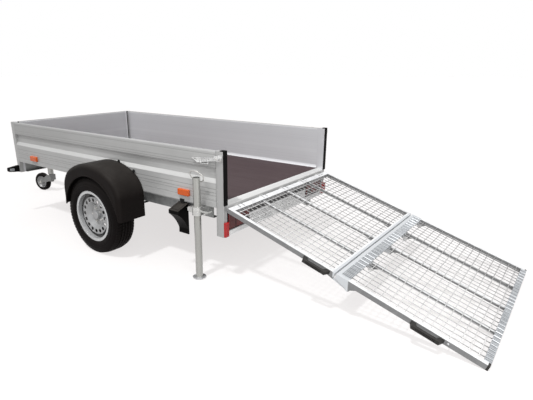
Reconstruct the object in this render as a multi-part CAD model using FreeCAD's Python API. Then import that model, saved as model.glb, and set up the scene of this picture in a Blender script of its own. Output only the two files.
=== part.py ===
import FreeCAD, Part
import math
import os

# Single-axle utility trailer with fixed board walls and a two-section mesh
# loading ramp in place of a tailgate. Lengths are millimetres, angles degrees.
# +X points to the coupling, +Y to the left side, +Z up. The ground is Z = 0 and
# the origin lies under the middle of the whole length, from ramp end to coupling.

# Load bed and its walls
bed_length = 2560.0
bed_width = 1365.0
floor_height = 535.0
floor_thickness = 15.0
wall_drop = 17.0
wall_height = 367.0
wall_thickness = 27.0
bevel_rise = 159.0
bevel_height = 28.0
recess_height = 71.0
recess_depth = 16.0
undercut_rise = 7.0
top_bead_height = 14.0
foot_rail_height = 34.0
foot_rail_reach = 16.0
rib_pitch = 24.0
rib_depth = 1.6
rib_width = 3.0
rib_count = 4
seat_gap = 0.3

# Corner posts and rear end
front_post_size = 52.0
front_post_drop = 122.0
front_post_radius = 10.0
rear_post_length = 62.0
rear_post_width = 34.0
rear_post_drop = 210.0
rear_post_radius = 5.0
seal_thickness = 7.0
seal_drop = 11.0
seal_cap_length = 26.0
seal_cap_height = 5.0
sill_length = 48.0
sill_height = 51.0
sill_drop = 14.0
sill_lip = 12.0
light_bar_wall = 3.0
light_bar_depth = 50.0
light_bar_height = 30.0
light_bar_setback = 4.0
light_panel_margin = 4.0

# Chassis
member_height = 102.0
member_flange = 42.0
member_wall = 3.0
member_shelf = 8.0
member_rear_gap = 44.0
member_past_axle = 70.0
cross_member_places_share = (0.055, 0.30, 0.56, 0.78)
cross_member_height = 60.0
cross_member_tip = 16.0
cross_member_taper = 110.0
front_member_depth = 46.0
drawbar_size = 70.0
drawbar_wall = 4.0
drawbar_lap_share = 0.445
drawbar_reach = 1080.0

# Axle, wheels and mudguards
axle_place_share = 0.4297
axle_beam_size = 62.0
axle_beam_wall = 6.0
axle_pad_length = 96.0
axle_pad_height = 8.0
arm_length = 150.0
arm_thickness = 30.0
arm_boss_radius = 36.0
arm_wheel_radius = 30.0
spindle_radius = 19.0
spindle_gap = 0.06
tyre_radius = 295.0
tyre_width = 185.0
tyre_clearance = 44.5
tyre_shoulder = 26.0
rim_radius = 195.0
rim_bead_radius = 178.0
rim_well_radius = 150.0
rim_width = 160.0
rim_wall = 3.5
disc_offset = 28.0
disc_vent_count = 16
disc_vent_radius = 12.0
disc_vent_circle = 121.5
disc_crown_height = 30.0
disc_crown_outer = 140.0
disc_crown_inner = 104.0
disc_seat_radius = 74.0
centre_bore_radius = 33.0
hub_radius = 68.0
hub_flange = 12.0
hub_barrel_radius = 31.0
hub_cap_reach = 26.0
mudguard_setback = 21.0
mudguard_half_length = 333.0
mudguard_top = 695.0
mudguard_crown_radius = 480.0
mudguard_corner_radius = 190.0
mudguard_wall = 5.0
mudguard_gap = 7.5
mudguard_width = 234.0
mudguard_shoulder = 36.0
mudguard_flange = 34.0
mudguard_mouth_radius = 312.0
mudguard_mouth_bead = 8.0
mudguard_mouth_rise = 2.5
mudguard_rear_bottom = 316.0
mudguard_front_bottom = 350.0
mudguard_flap_height = 57.0
mudguard_crease = 2.0
mudguard_lug_radius = 11.0
stay_size = 16.0
stay_thickness = 8.0

# Lamps
side_lamp_length = 102.0
side_lamp_height = 44.0
side_lamp_depth = 18.0
side_lamp_corner = 7.0
side_lamp_rise = 59.0
side_lamp_inset = 340.0
tail_lamp_height = 96.0
tail_lamp_depth = 20.0
tail_lamp_lift = 4.0
cluster_width = 240.0
cluster_height = 128.0
cluster_depth = 40.0
cluster_lens_depth = 10.0
cluster_rim = 8.0
cluster_inset = 18.0
front_lamp_reach = 102.0
front_lamp_height = 61.0
front_lamp_tip_height = 38.0
front_lamp_tip_rise = 12.0
front_lamp_thickness = 34.0
front_lamp_lift = 4.0
front_lamp_corner = 9.0
lens_length = 42.0
lens_height = 24.0
lens_depth = 6.0

# Prop stands
stand_x = 174.0
stand_clearance = 32.5
stand_tube_radius = 24.0
stand_tube_wall = 3.0
stand_top = 698.0
stand_raised = 160.0
stand_foot_radius = 46.0
stand_foot_rim = 5.0
stand_foot_height = 15.0
clamp_arm_height = 45.0
clamp_height = 56.0
clamp_wall = 9.0
clamp_gap = 0.08
clamp_arm_width = 58.0
clamp_lug_reach = 44.0
clamp_lug_height = 34.0
clamp_lug_width = 22.0
clamp_slit = 3.0
clamp_bolt_radius = 7.0
clamp_bolt_reach = 58.0
clamp_wing_length = 74.0
clamp_wing_radius = 5.0

# Jockey wheel
jockey_reach = 473.0
jockey_spacing = 21.0
jockey_turn = 15.0
jockey_trail = 131.0
jockey_wheel_radius = 100.0
jockey_wheel_width = 58.0
jockey_rim_radius = 66.0
jockey_tube_radius = 30.0
jockey_tube_bottom = 202.0
jockey_tube_top = 740.0
jockey_stem_radius = 24.5
jockey_stem_bottom = 112.0
jockey_plate = 5.0
jockey_side_gap = 5.0
jockey_pin_radius = 8.0
jockey_crank_reach = 95.0
jockey_crank_radius = 6.0
jockey_crank_grip = 11.0
jockey_crank_grip_length = 66.0
jockey_clamp_height = 52.0
jockey_clamp_wall = 10.0
stem_gap = 0.08

# Coupling
coupling_length = 250.0
coupling_overlap = 140.0
coupling_wall = 6.0
coupling_height = 84.0
ball_radius = 25.0
ball_gap = 0.4
coupling_lever_length = 190.0
coupling_lever_width = 34.0
coupling_lever_thickness = 16.0

# Ramp, measured from its hinge pin along the slope
ramp_inset = 19.5
ramp_length = 1635.0
rail_height = 30.0
rail_width = 25.0
ramp_hinge_x = -27.0
ramp_hinge_drop = 44.4
hinge_pin_radius = 6.0
hinge_pin_gap = 0.06
hinge_ear = 6.0
hinge_ear_radius = 13.0
hinge_slot_gap = 3.0
hinge_knuckle_width = 34.0
hinge_places_share = (-0.82, -0.41, 0.0, 0.41, 0.82)
first_bar = -12.0
root_bar_width = 40.0
section_end = 780.0
section_gap = 10.0
fold_reach = 98.0
fold_depth = 35.0
fold_pin_radius = 7.0
fold_boss_radius = 14.0
gusset_thickness = 6.0
gusset_gap = 1.0
gusset_reach = 46.0
wire_size = 5.0
wire_gap = 0.2
wire_pitch = 48.0
bar_width = 20.0
bar_height = 17.0
bar_places_share = (-0.5, 0.0, 0.5)
tread_plate_start = 22.0
tread_plate_length = 57.0
tread_plate_thickness = 3.0
tread_tooth = 3.0
tread_pitch = 24.0
end_plate_length = 36.0
grip_length = 178.0
grip_reach = 42.0
grip_thickness = 20.0
grip_foot = 26.0
inner_grip_inset = 206.0
outer_grip_inset = 397.0
rail_plug = 12.0
catch_pin_inset = 199.0
catch_pin_radius = 6.0
catch_pin_reach = 13.0

# Latches, chocks
latch_pivot_x = 40.0
latch_drop = 48.0
latch_plate = 4.0
latch_plate_length = 54.0
latch_plate_height = 34.0
latch_boss_radius = 12.0
latch_lever_length = 160.0
latch_lever_root = 17.0
latch_lever_end = 27.0
latch_lever_fall = 10.0
latch_lever_slant = 46.0
latch_lever_depth = 14.0
latch_lever_wall = 2.5
latch_rod_radius = 3.0
latch_rod_drop = 39.0
latch_rod_start = 73.0
latch_rod_length = 61.0
latch_hook_length = 26.0
latch_hook_height = 16.0
latch_hook_rise = 10.0
chock_start = 318.0
chock_width = 90.0
chock_length = 222.0
chock_height = 100.0
chock_drop = 19.0
chock_heel_drop = 34.0
chock_heel = 26.0
chock_toe = 8.0
chock_toe_length = 38.0
chock_corner = 7.0
chock_standoff = 16.5
holder_thickness = 4.0
holder_width = 38.0
holder_hook = 8.0
holder_reach = 54.0
holder_rise = 9.0

cut_overrun = 1.0

# Places that follow from the sizes above
half_bed = bed_width / 2
inner_wall = half_bed - wall_thickness
floor_bottom = floor_height - floor_thickness
wall_bottom = floor_bottom - wall_drop
wall_top = wall_bottom + wall_height
bevel_bottom = wall_bottom + bevel_rise
recess_bottom = bevel_bottom + bevel_height
recess_top = recess_bottom + recess_height
front_post_bottom = floor_bottom - front_post_drop
rear_post_bottom = floor_bottom - rear_post_drop
seal_bottom = floor_height - seal_drop
sill_bottom = floor_height - sill_height
member_bottom = floor_bottom - member_height
member_shelf_bottom = wall_bottom - member_shelf
side_lamp_z = wall_bottom + side_lamp_rise
front_lamp_bottom = front_post_bottom + front_lamp_lift
clamp_bottom = member_shelf_bottom - clamp_arm_height
latch_z = wall_top - latch_drop
chock_top = wall_bottom - chock_drop
axle_x = bed_length * axle_place_share
wheel_y = half_bed + tyre_clearance + tyre_width / 2
disc_y = wheel_y + disc_offset
mudguard_x = axle_x - mudguard_setback
mudguard_inner_y = half_bed + mudguard_gap
mudguard_outer_y = mudguard_inner_y + mudguard_width
member_start = rear_post_length + member_rear_gap
member_end = axle_x + arm_length + member_past_axle
light_bar_top = rear_post_bottom + light_bar_height
stand_y = half_bed + stand_clearance + stand_tube_radius
drawbar_start = bed_length * (1 - drawbar_lap_share)
drawbar_end = bed_length + drawbar_reach
jockey_x = bed_length + jockey_reach
jockey_y = drawbar_size / 2 + jockey_spacing + jockey_tube_radius
chock_back = inner_wall + chock_standoff
ramp_width = bed_width - 2 * ramp_inset
ramp_hinge_z = floor_height - ramp_hinge_drop
fold_pin = section_end + fold_reach
grip_starts = (section_end - inner_grip_inset, ramp_length - outer_grip_inset)
catch_pin_start = ramp_length - catch_pin_inset
coupling_nose = drawbar_end + coupling_length - coupling_overlap
slope = math.degrees(
    math.asin(ramp_hinge_z / math.hypot(ramp_length, rail_height / 2))
    - math.atan2(rail_height / 2, ramp_length)
)
ramp_reach = ramp_length * math.cos(math.radians(slope))
ramp_top = rail_height / 2 + tread_plate_thickness + tread_tooth
ramp_corner = ramp_top * math.sin(math.radians(slope))
rear_end = ramp_hinge_x - ramp_reach - ramp_corner
rear_x = -(coupling_nose + rear_end) / 2


def vec(x, y, z):
    return FreeCAD.Vector(x, y, z)


def block(x0, x1, y0, y1, z0, z1):
    """Box between two corners, in the bed's frame."""
    return Part.makeBox(x1 - x0, y1 - y0, z1 - z0, vec(x0, y0, z0))


def rod(start, end, radius):
    """Round bar from one point to another."""
    axis = end.sub(start)
    return Part.makeCylinder(radius, axis.Length, start, axis)


def tube(start, end, radius, wall):
    """Round tube, open at both ends."""
    return rod(start, end, radius).cut(rod(start, end, radius - wall))


def wire_of(points, place):
    """Closed wire through points; a pair of pairs is an arc's middle and end."""
    edges = []
    last = points[0]
    for item in points[1:] + [points[0]]:
        if isinstance(item[0], tuple):
            middle, end = item
            edges.append(Part.Arc(place(*last), place(*middle), place(*end)).toShape())
            last = end
        elif item != last:
            edges.append(Part.LineSegment(place(*last), place(*item)).toShape())
            last = item
    return Part.Wire(edges)


def swept_x(points, x0, x1):
    """Profile in (y, z), drawn out along X."""
    face = Part.Face(wire_of(points, lambda y, z: vec(x0, y, z)))
    return face.extrude(vec(x1 - x0, 0, 0))


def swept_y(points, y0, y1):
    """Profile in (x, z), drawn out along Y."""
    face = Part.Face(wire_of(points, lambda x, z: vec(x, y0, z)))
    return face.extrude(vec(0, y1 - y0, 0))


def swept_z(points, z0, z1):
    """Profile in (x, y), drawn out along Z."""
    face = Part.Face(wire_of(points, lambda x, y: vec(x, y, z0)))
    return face.extrude(vec(0, 0, z1 - z0))


def turned_y(points, x, z):
    """Profile in (y, radius), turned about a line along Y through x, z."""
    face = Part.Face(wire_of(points, lambda y, r: vec(x, y, z + r)))
    return face.revolve(vec(x, 0, z), vec(0, 1, 0), 360)


def turned_z(points, x, y):
    """Profile in (radius, z), turned about a line along Z through x, y."""
    face = Part.Face(wire_of(points, lambda r, z: vec(x + r, y, z)))
    return face.revolve(vec(x, y, 0), vec(0, 0, 1), 360)


def joined(shapes):
    """One solid of several that meet."""
    return shapes[0].multiFuse(shapes[1:]).removeSplitter()


def mirrored(shape):
    """The same piece on the other side of the trailer."""
    return shape.mirror(vec(0, 0, 0), vec(0, 1, 0))


def pair(shape):
    """A piece and its mirror image."""
    return [shape, mirrored(shape)]


def save(name, shapes):
    """Write one node, moved from the bed's frame to the trailer's own."""
    whole = Part.makeCompound(shapes) if len(shapes) > 1 else shapes[0].copy()
    whole.translate(vec(rear_x, 0, 0))
    whole.exportStep("parts/" + name + ".step")


# Walls: one extruded board profile, bulged above and below a recessed band


def board_profile(sign, face, from_z):
    """Board section as (across, z), its foot thick enough to hold the floor's edge."""
    def at(depth):
        return face + sign * depth
    bead = top_bead_height
    shoulder = wall_top - bead
    foot = wall_thickness + foot_rail_reach
    return [
        (at(0), from_z),
        (at(0), bevel_bottom),
        (at(recess_depth), recess_bottom),
        (at(recess_depth), recess_top - undercut_rise),
        (at(0), recess_top),
        (at(0), shoulder),
        ((at(wall_thickness * 0.15), wall_top - bead * 0.25), (at(wall_thickness / 2), wall_top)),
        ((at(wall_thickness * 0.85), wall_top - bead * 0.25), (at(wall_thickness), shoulder)),
        (at(wall_thickness), floor_height + foot_rail_height),
        ((at(wall_thickness + foot_rail_reach * 0.3), floor_height + foot_rail_height * 0.3),
         (at(foot), floor_height)),
        (at(foot), floor_bottom),
        (at(wall_thickness), floor_bottom),
        (at(wall_thickness), from_z),
    ]


def rib_grooves(make_groove):
    """Fine grooves drawn in the lower bulge."""
    first = wall_bottom + rib_pitch
    return [make_groove(first + index * rib_pitch) for index in range(rib_count)]


def side_wall():
    x0 = rear_post_length
    x1 = bed_length - front_post_size
    wall = swept_x(board_profile(-1, half_bed, wall_bottom), x0, x1)
    grooves = rib_grooves(
        lambda z: block(x0, x1, half_bed - rib_depth, half_bed + cut_overrun, z, z + rib_width)
    )
    return wall.cut(grooves)


def front_wall():
    half = half_bed - front_post_size
    x1 = bed_length
    wall = swept_y(board_profile(-1, x1, wall_bottom), -half, half)
    grooves = rib_grooves(
        lambda z: block(x1 - rib_depth, x1 + cut_overrun, -half, half, z, z + rib_width)
    )
    return wall.cut(grooves)


def front_post():
    x0 = bed_length - front_post_size
    y0 = half_bed - front_post_size
    post = block(x0, bed_length, y0, half_bed, front_post_bottom, wall_top)
    edges = [
        edge for edge in post.Edges
        if edge.BoundBox.ZLength > front_post_size
        and edge.BoundBox.XMin > bed_length - seat_gap
        and edge.BoundBox.YMin > half_bed - seat_gap
    ]
    return post.makeFillet(front_post_radius, edges)


def rear_post():
    y0 = half_bed - rear_post_width
    post = block(0, rear_post_length, y0, half_bed, rear_post_bottom, wall_top)
    edges = [
        edge for edge in post.Edges
        if edge.BoundBox.ZLength > rear_post_length and edge.BoundBox.YMin > half_bed - seat_gap
    ]
    return post.makeFillet(rear_post_radius, edges)


def post_seal():
    """Rubber strip down the post's rear face, with a cap over its top."""
    y0 = half_bed - rear_post_width
    top = wall_top + seal_cap_height
    strip = block(-seal_thickness, 0, y0, half_bed, seal_bottom, top)
    cap = block(0, seal_cap_length, y0, half_bed, wall_top, top)
    return joined([strip, cap])


# Floor and rear end


def floor_panel():
    x1 = bed_length - wall_thickness - foot_rail_reach
    half = inner_wall - foot_rail_reach
    panel = block(sill_length, x1, -half, half, floor_bottom, floor_height)
    size = front_post_size
    front = block(
        bed_length - size, bed_length, half_bed - size, half_bed, floor_bottom, floor_height
    )
    return panel.cut(pair(front))


def rear_sill():
    """Ramped edge profile that closes the floor between the posts."""
    half = half_bed - rear_post_width
    points = [
        (0, sill_bottom),
        (0, floor_height - sill_drop),
        (sill_length, floor_height),
        (sill_length, floor_bottom),
        (sill_lip, floor_bottom),
        (sill_lip, sill_bottom),
    ]
    return swept_y(points, -half, half)


def light_bar():
    """Low channel between the rear posts' feet; a panel closes it up to the floor."""
    half = half_bed - rear_post_width
    low = rear_post_bottom
    high = light_bar_top
    wall = light_bar_wall
    x0 = light_bar_setback
    x1 = x0 + light_bar_depth
    points = [
        (x0, low), (x1, low), (x1, low + wall), (x0 + wall, low + wall),
        (x0 + wall, high - wall), (x1, high - wall), (x1, high), (x0, high),
    ]
    bar = swept_y(points, -half, half)
    reach = half - cluster_inset - cluster_width - light_panel_margin
    panel = block(sill_lip, sill_lip + wall, -reach, reach,
                  high - wall, floor_bottom)
    return joined([bar, panel])


# Chassis


def side_member():
    """Channel under the floor's edge; a shelf along its top carries the wall."""
    outer = inner_wall
    low = member_bottom
    high = floor_bottom
    wall = member_wall
    flange = member_flange
    shelf = member_shelf_bottom
    points = [
        (outer, low), (outer, shelf), (half_bed, shelf), (half_bed, wall_bottom),
        (outer, wall_bottom), (outer, high),
        (outer - flange, high), (outer - flange, high - wall),
        (outer - wall, high - wall), (outer - wall, low + wall),
        (outer - flange, low + wall), (outer - flange, low),
    ]
    return swept_x(points, member_start, member_end)


def cross_member(x0):
    """Angle under the floor, its ends cut on a slant."""
    half = inner_wall - member_wall
    wall = member_wall
    low = floor_bottom - cross_member_height
    high = floor_bottom
    tip = high - cross_member_tip
    taper = half - cross_member_taper
    points = [
        (-half, high), (-half, tip), (-taper, low), (taper, low), (half, tip), (half, high),
    ]
    web = swept_x(points, x0, x0 + wall)
    notch = block(x0, x0 + wall, half - member_flange, half, high - 2 * wall, high)
    top = block(x0, x0 + member_flange, member_flange - half, half - member_flange,
                high - wall, high)
    return joined([web.cut(pair(notch)), top])


def cross_members():
    """Cross members; those over the drawbar carry a saddle down to it."""
    shapes = []
    half = drawbar_size / 2
    for share in cross_member_places_share:
        x0 = bed_length * share
        member = cross_member(x0)
        if x0 > drawbar_start:
            saddle = block(x0, x0 + member_flange, -half, half, front_post_bottom, floor_bottom)
            member = joined([member, saddle])
        shapes.append(member)
    return shapes


def front_member():
    """Deep channel under the front wall, between the corner posts."""
    half = half_bed - front_post_size
    low = front_post_bottom
    high = floor_bottom
    wall = member_wall
    x1 = bed_length - wall_thickness
    x0 = x1 - front_member_depth
    points = [
        (x1, low), (x1, high), (x0, high), (x0, high - wall), (x1 - wall, high - wall),
        (x1 - wall, low + wall), (x0, low + wall), (x0, low),
    ]
    return swept_y(points, -half, half)


def drawbar():
    half = drawbar_size / 2
    high = front_post_bottom
    low = high - drawbar_size
    wall = drawbar_wall
    outer = block(drawbar_start, drawbar_end, -half, half, low, high)
    inner = block(drawbar_start - cut_overrun, drawbar_end + cut_overrun,
                  -half + wall, half - wall, low + wall, high - wall)
    return outer.cut(inner)


# Axle


def axle_beam():
    """Square beam of a rubber-sprung axle, with a pad under each side member."""
    x = axle_x + arm_length
    half = axle_beam_size / 2
    high = member_bottom - axle_pad_height
    low = high - axle_beam_size
    end = inner_wall - arm_thickness
    beam = block(x - half, x + half, -end, end, low, high)
    hole = block(x - half + axle_beam_wall, x + half - axle_beam_wall, -end, end,
                 low + axle_beam_wall, high - axle_beam_wall)
    pad = block(x - axle_pad_length / 2, x + axle_pad_length / 2,
                inner_wall - arm_thickness - member_flange, inner_wall - arm_thickness,
                high, member_bottom)
    return joined([beam.cut(hole)] + pair(pad))


def swing_arm():
    """Trailing arm with the stub that the hub turns on."""
    beam_z = member_bottom - axle_pad_height - axle_beam_size / 2
    y0 = inner_wall - arm_thickness
    y1 = inner_wall
    rise = beam_z - tyre_radius
    run = math.hypot(arm_length, rise)
    across = (-rise / run, arm_length / run)
    root = (axle_x + arm_length, beam_z)
    tip = (axle_x, tyre_radius)
    top = arm_boss_radius
    end = arm_wheel_radius
    sides = [
        (root[0] + across[0] * top, root[1] + across[1] * top),
        (tip[0] + across[0] * end, tip[1] + across[1] * end),
        (tip[0] - across[0] * end, tip[1] - across[1] * end),
        (root[0] - across[0] * top, root[1] - across[1] * top),
    ]
    web = swept_y(sides, y0, y1)
    root_boss = rod(vec(root[0], y0, root[1]), vec(root[0], y1, root[1]), top)
    tip_boss = rod(vec(tip[0], y0, tip[1]), vec(tip[0], y1, tip[1]), end)
    stub = rod(vec(tip[0], y1, tip[1]), vec(tip[0], disc_y + hub_flange, tip[1]), spindle_radius)
    return joined([web, root_boss, tip_boss, stub])


# Wheels


def tyre():
    inner = wheel_y - tyre_width / 2
    outer = wheel_y + tyre_width / 2
    bead = rim_bead_radius
    shoulder = tyre_radius - tyre_shoulder
    bead_in = wheel_y - rim_width / 2 + rim_wall + seat_gap
    bead_out = wheel_y + rim_width / 2 - rim_wall - seat_gap
    lip = rim_radius + seat_gap
    middle = (lip + shoulder) / 2
    bulge = 6 * rim_wall
    points = [
        (bead_in, bead + seat_gap),
        (bead_in, lip),
        (bead_in - rim_wall * 2, lip),
        ((inner, middle), (inner + bulge * 0.4, shoulder)),
        ((inner + bulge * 0.9, tyre_radius - tyre_shoulder * 0.3),
         (inner + bulge * 1.6, tyre_radius)),
        (outer - bulge * 1.6, tyre_radius),
        ((outer - bulge * 0.9, tyre_radius - tyre_shoulder * 0.3),
         (outer - bulge * 0.4, shoulder)),
        ((outer, middle), (bead_out + rim_wall * 2, lip)),
        (bead_out, lip),
        (bead_out, bead + seat_gap),
    ]
    return turned_y(points, axle_x, tyre_radius)


def rim():
    """Pressed rim with a dished disc and a ring of vents."""
    inner = wheel_y - rim_width / 2
    outer = wheel_y + rim_width / 2
    wall = rim_wall
    bead = rim_bead_radius
    well = rim_well_radius
    well_in = wheel_y - rim_width * 0.12
    well_out = wheel_y + rim_width * 0.14
    slant = (bead - well) * 0.6
    barrel = [
        (inner, rim_radius), (inner + wall, rim_radius), (inner + wall, bead),
        (well_in - slant, bead), (well_in, well), (well_out, well), (well_out + slant, bead),
        (outer - wall, bead), (outer - wall, rim_radius), (outer, rim_radius),
        (outer, bead - wall), (well_out + slant + wall, bead - wall),
        (well_out + wall, well - wall), (well_in - wall, well - wall),
        (well_in - slant - wall, bead - wall), (inner, bead - wall),
    ]
    face = disc_y
    crown = face + disc_crown_height
    edge = well - wall
    back = face - wall
    soft = edge - disc_crown_outer
    turn = soft * math.sqrt(0.5)
    disc = [
        (well_out - wall * 2, edge),
        (crown - soft, edge),
        ((crown - soft + turn, disc_crown_outer + turn), (crown, disc_crown_outer)),
        (crown, disc_crown_inner),
        (face, disc_seat_radius),
        (face, centre_bore_radius),
        (back, centre_bore_radius),
        (back, disc_seat_radius),
        (crown - wall, disc_crown_inner),
        (crown - wall, disc_crown_outer - wall),
        (well_out - wall * 2, edge - wall),
    ]
    body = joined([turned_y(barrel, axle_x, tyre_radius), turned_y(disc, axle_x, tyre_radius)])
    vents = []
    for index in range(disc_vent_count):
        angle = 2 * math.pi * index / disc_vent_count
        x = axle_x + disc_vent_circle * math.cos(angle)
        z = tyre_radius + disc_vent_circle * math.sin(angle)
        vents.append(rod(vec(x, face, z), vec(x, outer, z), disc_vent_radius))
    return body.cut(vents)


def hub():
    """Hub with its wheel flange and grease cap, turning on the stub."""
    bore = spindle_radius + spindle_gap
    back = inner_wall + seat_gap * 2
    seat = disc_y - rim_wall - seat_gap
    cap = disc_y + hub_cap_reach
    inside = disc_y + hub_flange + seat_gap
    points = [
        (back, bore), (back, hub_barrel_radius + rim_wall),
        (seat - hub_flange, hub_barrel_radius + rim_wall),
        (seat - hub_flange, hub_radius), (seat, hub_radius), (seat, hub_barrel_radius),
        (cap - rim_wall, hub_barrel_radius), (cap, hub_barrel_radius - rim_wall), (cap, 0),
        (inside, 0), (inside, bore),
    ]
    return turned_y(points, axle_x, tyre_radius)


# Mudguards


def arch(inset):
    """Side view of the guard as a three-centred arch, drawn in by an inset."""
    x = mudguard_x
    half = mudguard_half_length - inset
    crown = mudguard_crown_radius - inset
    corner = mudguard_corner_radius - inset
    centre_z = mudguard_top - mudguard_crown_radius
    reach = mudguard_half_length - mudguard_corner_radius
    span = mudguard_crown_radius - mudguard_corner_radius
    rise = math.sqrt(span ** 2 - reach ** 2)
    lean = math.atan2(rise, reach)
    corner_z = centre_z + rise
    touch_x = crown * math.cos(lean)
    touch_z = centre_z + crown * math.sin(lean)
    bend_x = reach + corner * math.cos(lean / 2)
    bend_z = corner_z + corner * math.sin(lean / 2)
    return [
        (x - half, mudguard_rear_bottom - inset), (x - half, corner_z),
        ((x - bend_x, bend_z), (x - touch_x, touch_z)),
        ((x, centre_z + crown), (x + touch_x, touch_z)),
        ((x + bend_x, bend_z), (x + half, corner_z)),
        (x + half, mudguard_front_bottom - inset),
    ]


def arch_block(inset, y0, y1, shoulder):
    """The arch drawn out across the trailer, its outer edge rounded over."""
    body = swept_y(arch(inset), y0, y1)
    edges = [
        edge for edge in body.Edges
        if edge.BoundBox.YMin > y1 - seat_gap
        and edge.BoundBox.ZMax > mudguard_front_bottom + mudguard_wall
    ]
    return body.makeFillet(shoulder, edges)


def mudguard_mouth(radius, y0, y1):
    """Opening of the outer skirt, round above the axle and straight below it."""
    x = mudguard_x
    z = tyre_radius
    low = mudguard_rear_bottom - mudguard_shoulder
    points = [(x - radius, low), (x - radius, z), ((x, z + radius), (x + radius, z)),
              (x + radius, low)]
    return swept_y(points, y0, y1)


def mudguard():
    """Moulded guard: arched crown, skirt with a beaded mouth, flange on the wall's side."""
    y0 = mudguard_inner_y
    y1 = mudguard_outer_y
    wall = mudguard_wall
    mouth = mudguard_mouth_radius
    skirt = y1 - wall - mudguard_shoulder
    shell = arch_block(0, y0, y1, mudguard_shoulder)
    inside = arch_block(wall, y0 + wall, y1 - wall, mudguard_shoulder - wall)
    opening = swept_y(arch(mudguard_flange), y0 - cut_overrun, y0 + wall + cut_overrun)
    bead = mudguard_mouth(mouth + mudguard_mouth_bead, y1 - 2 * wall, y1 + mudguard_mouth_rise)
    bead = bead.common(arch_block(0, y0, y1 + mudguard_mouth_rise, mudguard_shoulder))
    hole = mudguard_mouth(mouth, skirt, y1 + mudguard_shoulder)
    crease_z = mudguard_rear_bottom + mudguard_flap_height
    rear = mudguard_x - mudguard_half_length
    crease = block(rear - cut_overrun, rear + mudguard_crease, y0 - cut_overrun, y1 + wall,
                   crease_z, crease_z + 2 * mudguard_crease)
    body = joined([shell.cut([inside, opening]), bead])
    return body.cut([hole, crease])


def mudguard_stays():
    """Spacers from the wall to the guard's flange, and a stay under the member."""
    y0 = half_bed
    y1 = mudguard_inner_y
    middle = arch(mudguard_flange / 2)
    shapes = []
    for corner in (middle[2], middle[4]):
        x, z = corner[0]
        shapes.append(rod(vec(x, y0, z), vec(x, y1, z), mudguard_lug_radius))
    rear = mudguard_x - mudguard_half_length + mudguard_wall
    shapes.append(block(rear, rear + stay_size, inner_wall - member_flange, y1,
                        member_bottom - stay_thickness, member_bottom))
    return shapes


# Lamps


def side_lamps():
    """Amber side lamps on the lower bulge, two on each wall."""
    shapes = []
    for x in (side_lamp_inset, bed_length - side_lamp_inset):
        half = side_lamp_height / 2
        lamp = block(x - side_lamp_length / 2, x + side_lamp_length / 2, half_bed,
                     half_bed + side_lamp_depth, side_lamp_z - half, side_lamp_z + half)
        upright = [edge for edge in lamp.Edges if edge.BoundBox.YLength > side_lamp_depth / 2]
        lamp = lamp.makeFillet(side_lamp_corner, upright)
        face = [edge for edge in lamp.Edges if edge.BoundBox.YMin > half_bed + seat_gap]
        lamp = lamp.makeChamfer(side_lamp_depth / 4, face)
        shapes += pair(lamp)
    return shapes


def tail_lamp():
    y0 = half_bed - rear_post_width
    z0 = rear_post_bottom + tail_lamp_lift
    lamp = block(-tail_lamp_depth, 0, y0, half_bed, z0, z0 + tail_lamp_height)
    edges = [edge for edge in lamp.Edges if edge.BoundBox.XMax < -tail_lamp_depth + seat_gap]
    return lamp.makeChamfer(tail_lamp_lift, edges)


def cluster_box():
    """Lamp housing that stands on the light bar beside the post."""
    y1 = half_bed - rear_post_width - cluster_inset
    z0 = light_bar_top
    x1 = light_bar_setback + light_bar_depth
    return block(x1 - cluster_depth, x1, y1 - cluster_width, y1, z0, z0 + cluster_height)


def cluster_lens():
    box = cluster_box().BoundBox
    rim_size = cluster_rim
    lens = block(box.XMin - cluster_lens_depth, box.XMin, box.YMin + rim_size,
                 box.YMax - rim_size, box.ZMin + rim_size, box.ZMax - rim_size)
    edges = [edge for edge in lens.Edges if edge.BoundBox.XMax < box.XMin - seat_gap]
    return lens.makeChamfer(rim_size / 2, edges)


def front_lamp_arm():
    """Tapered rubber arm that carries the front position lamp out past the wall."""
    x1 = bed_length
    x0 = x1 - front_lamp_thickness
    low = front_lamp_bottom
    tip = half_bed + front_lamp_reach
    tip_low = low + front_lamp_tip_rise
    tip_high = tip_low + front_lamp_tip_height
    soft = front_lamp_corner
    turn = soft * (1 - math.sqrt(0.5))
    points = [
        (half_bed, low), (half_bed, low + front_lamp_height), (tip - soft, tip_high),
        ((tip - turn, tip_high - turn), (tip, tip_high - soft)), (tip, tip_low + soft),
        ((tip - turn, tip_low + turn), (tip - soft, tip_low)),
    ]
    return swept_x(points, x0, x1)


def front_lamp_lens():
    x0 = bed_length - front_lamp_thickness - lens_depth
    y1 = half_bed + front_lamp_reach - front_lamp_corner
    z0 = front_lamp_bottom + front_lamp_tip_rise + (front_lamp_tip_height - lens_height) / 2
    lens = block(x0, x0 + lens_depth, y1 - lens_length, y1, z0, z0 + lens_height)
    edges = [edge for edge in lens.Edges if edge.BoundBox.XLength > lens_depth / 2]
    return lens.makeFillet(lens_height / 3, edges)


# Prop stands


def stand(rise):
    """Round leg with a dished foot, its foot this far above the ground."""
    wall = stand_tube_wall
    radius = stand_tube_radius
    foot = stand_foot_radius
    points = [
        (0, 0), (foot - stand_foot_rim, 0), (foot, stand_foot_rim),
        (foot, stand_foot_rim * 2), (radius, stand_foot_height), (radius, stand_top),
        (radius - wall, stand_top), (radius - wall, stand_foot_height), (0, stand_foot_height),
    ]
    return turned_z(points, stand_x, stand_y).translated(vec(0, 0, rise))


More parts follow.
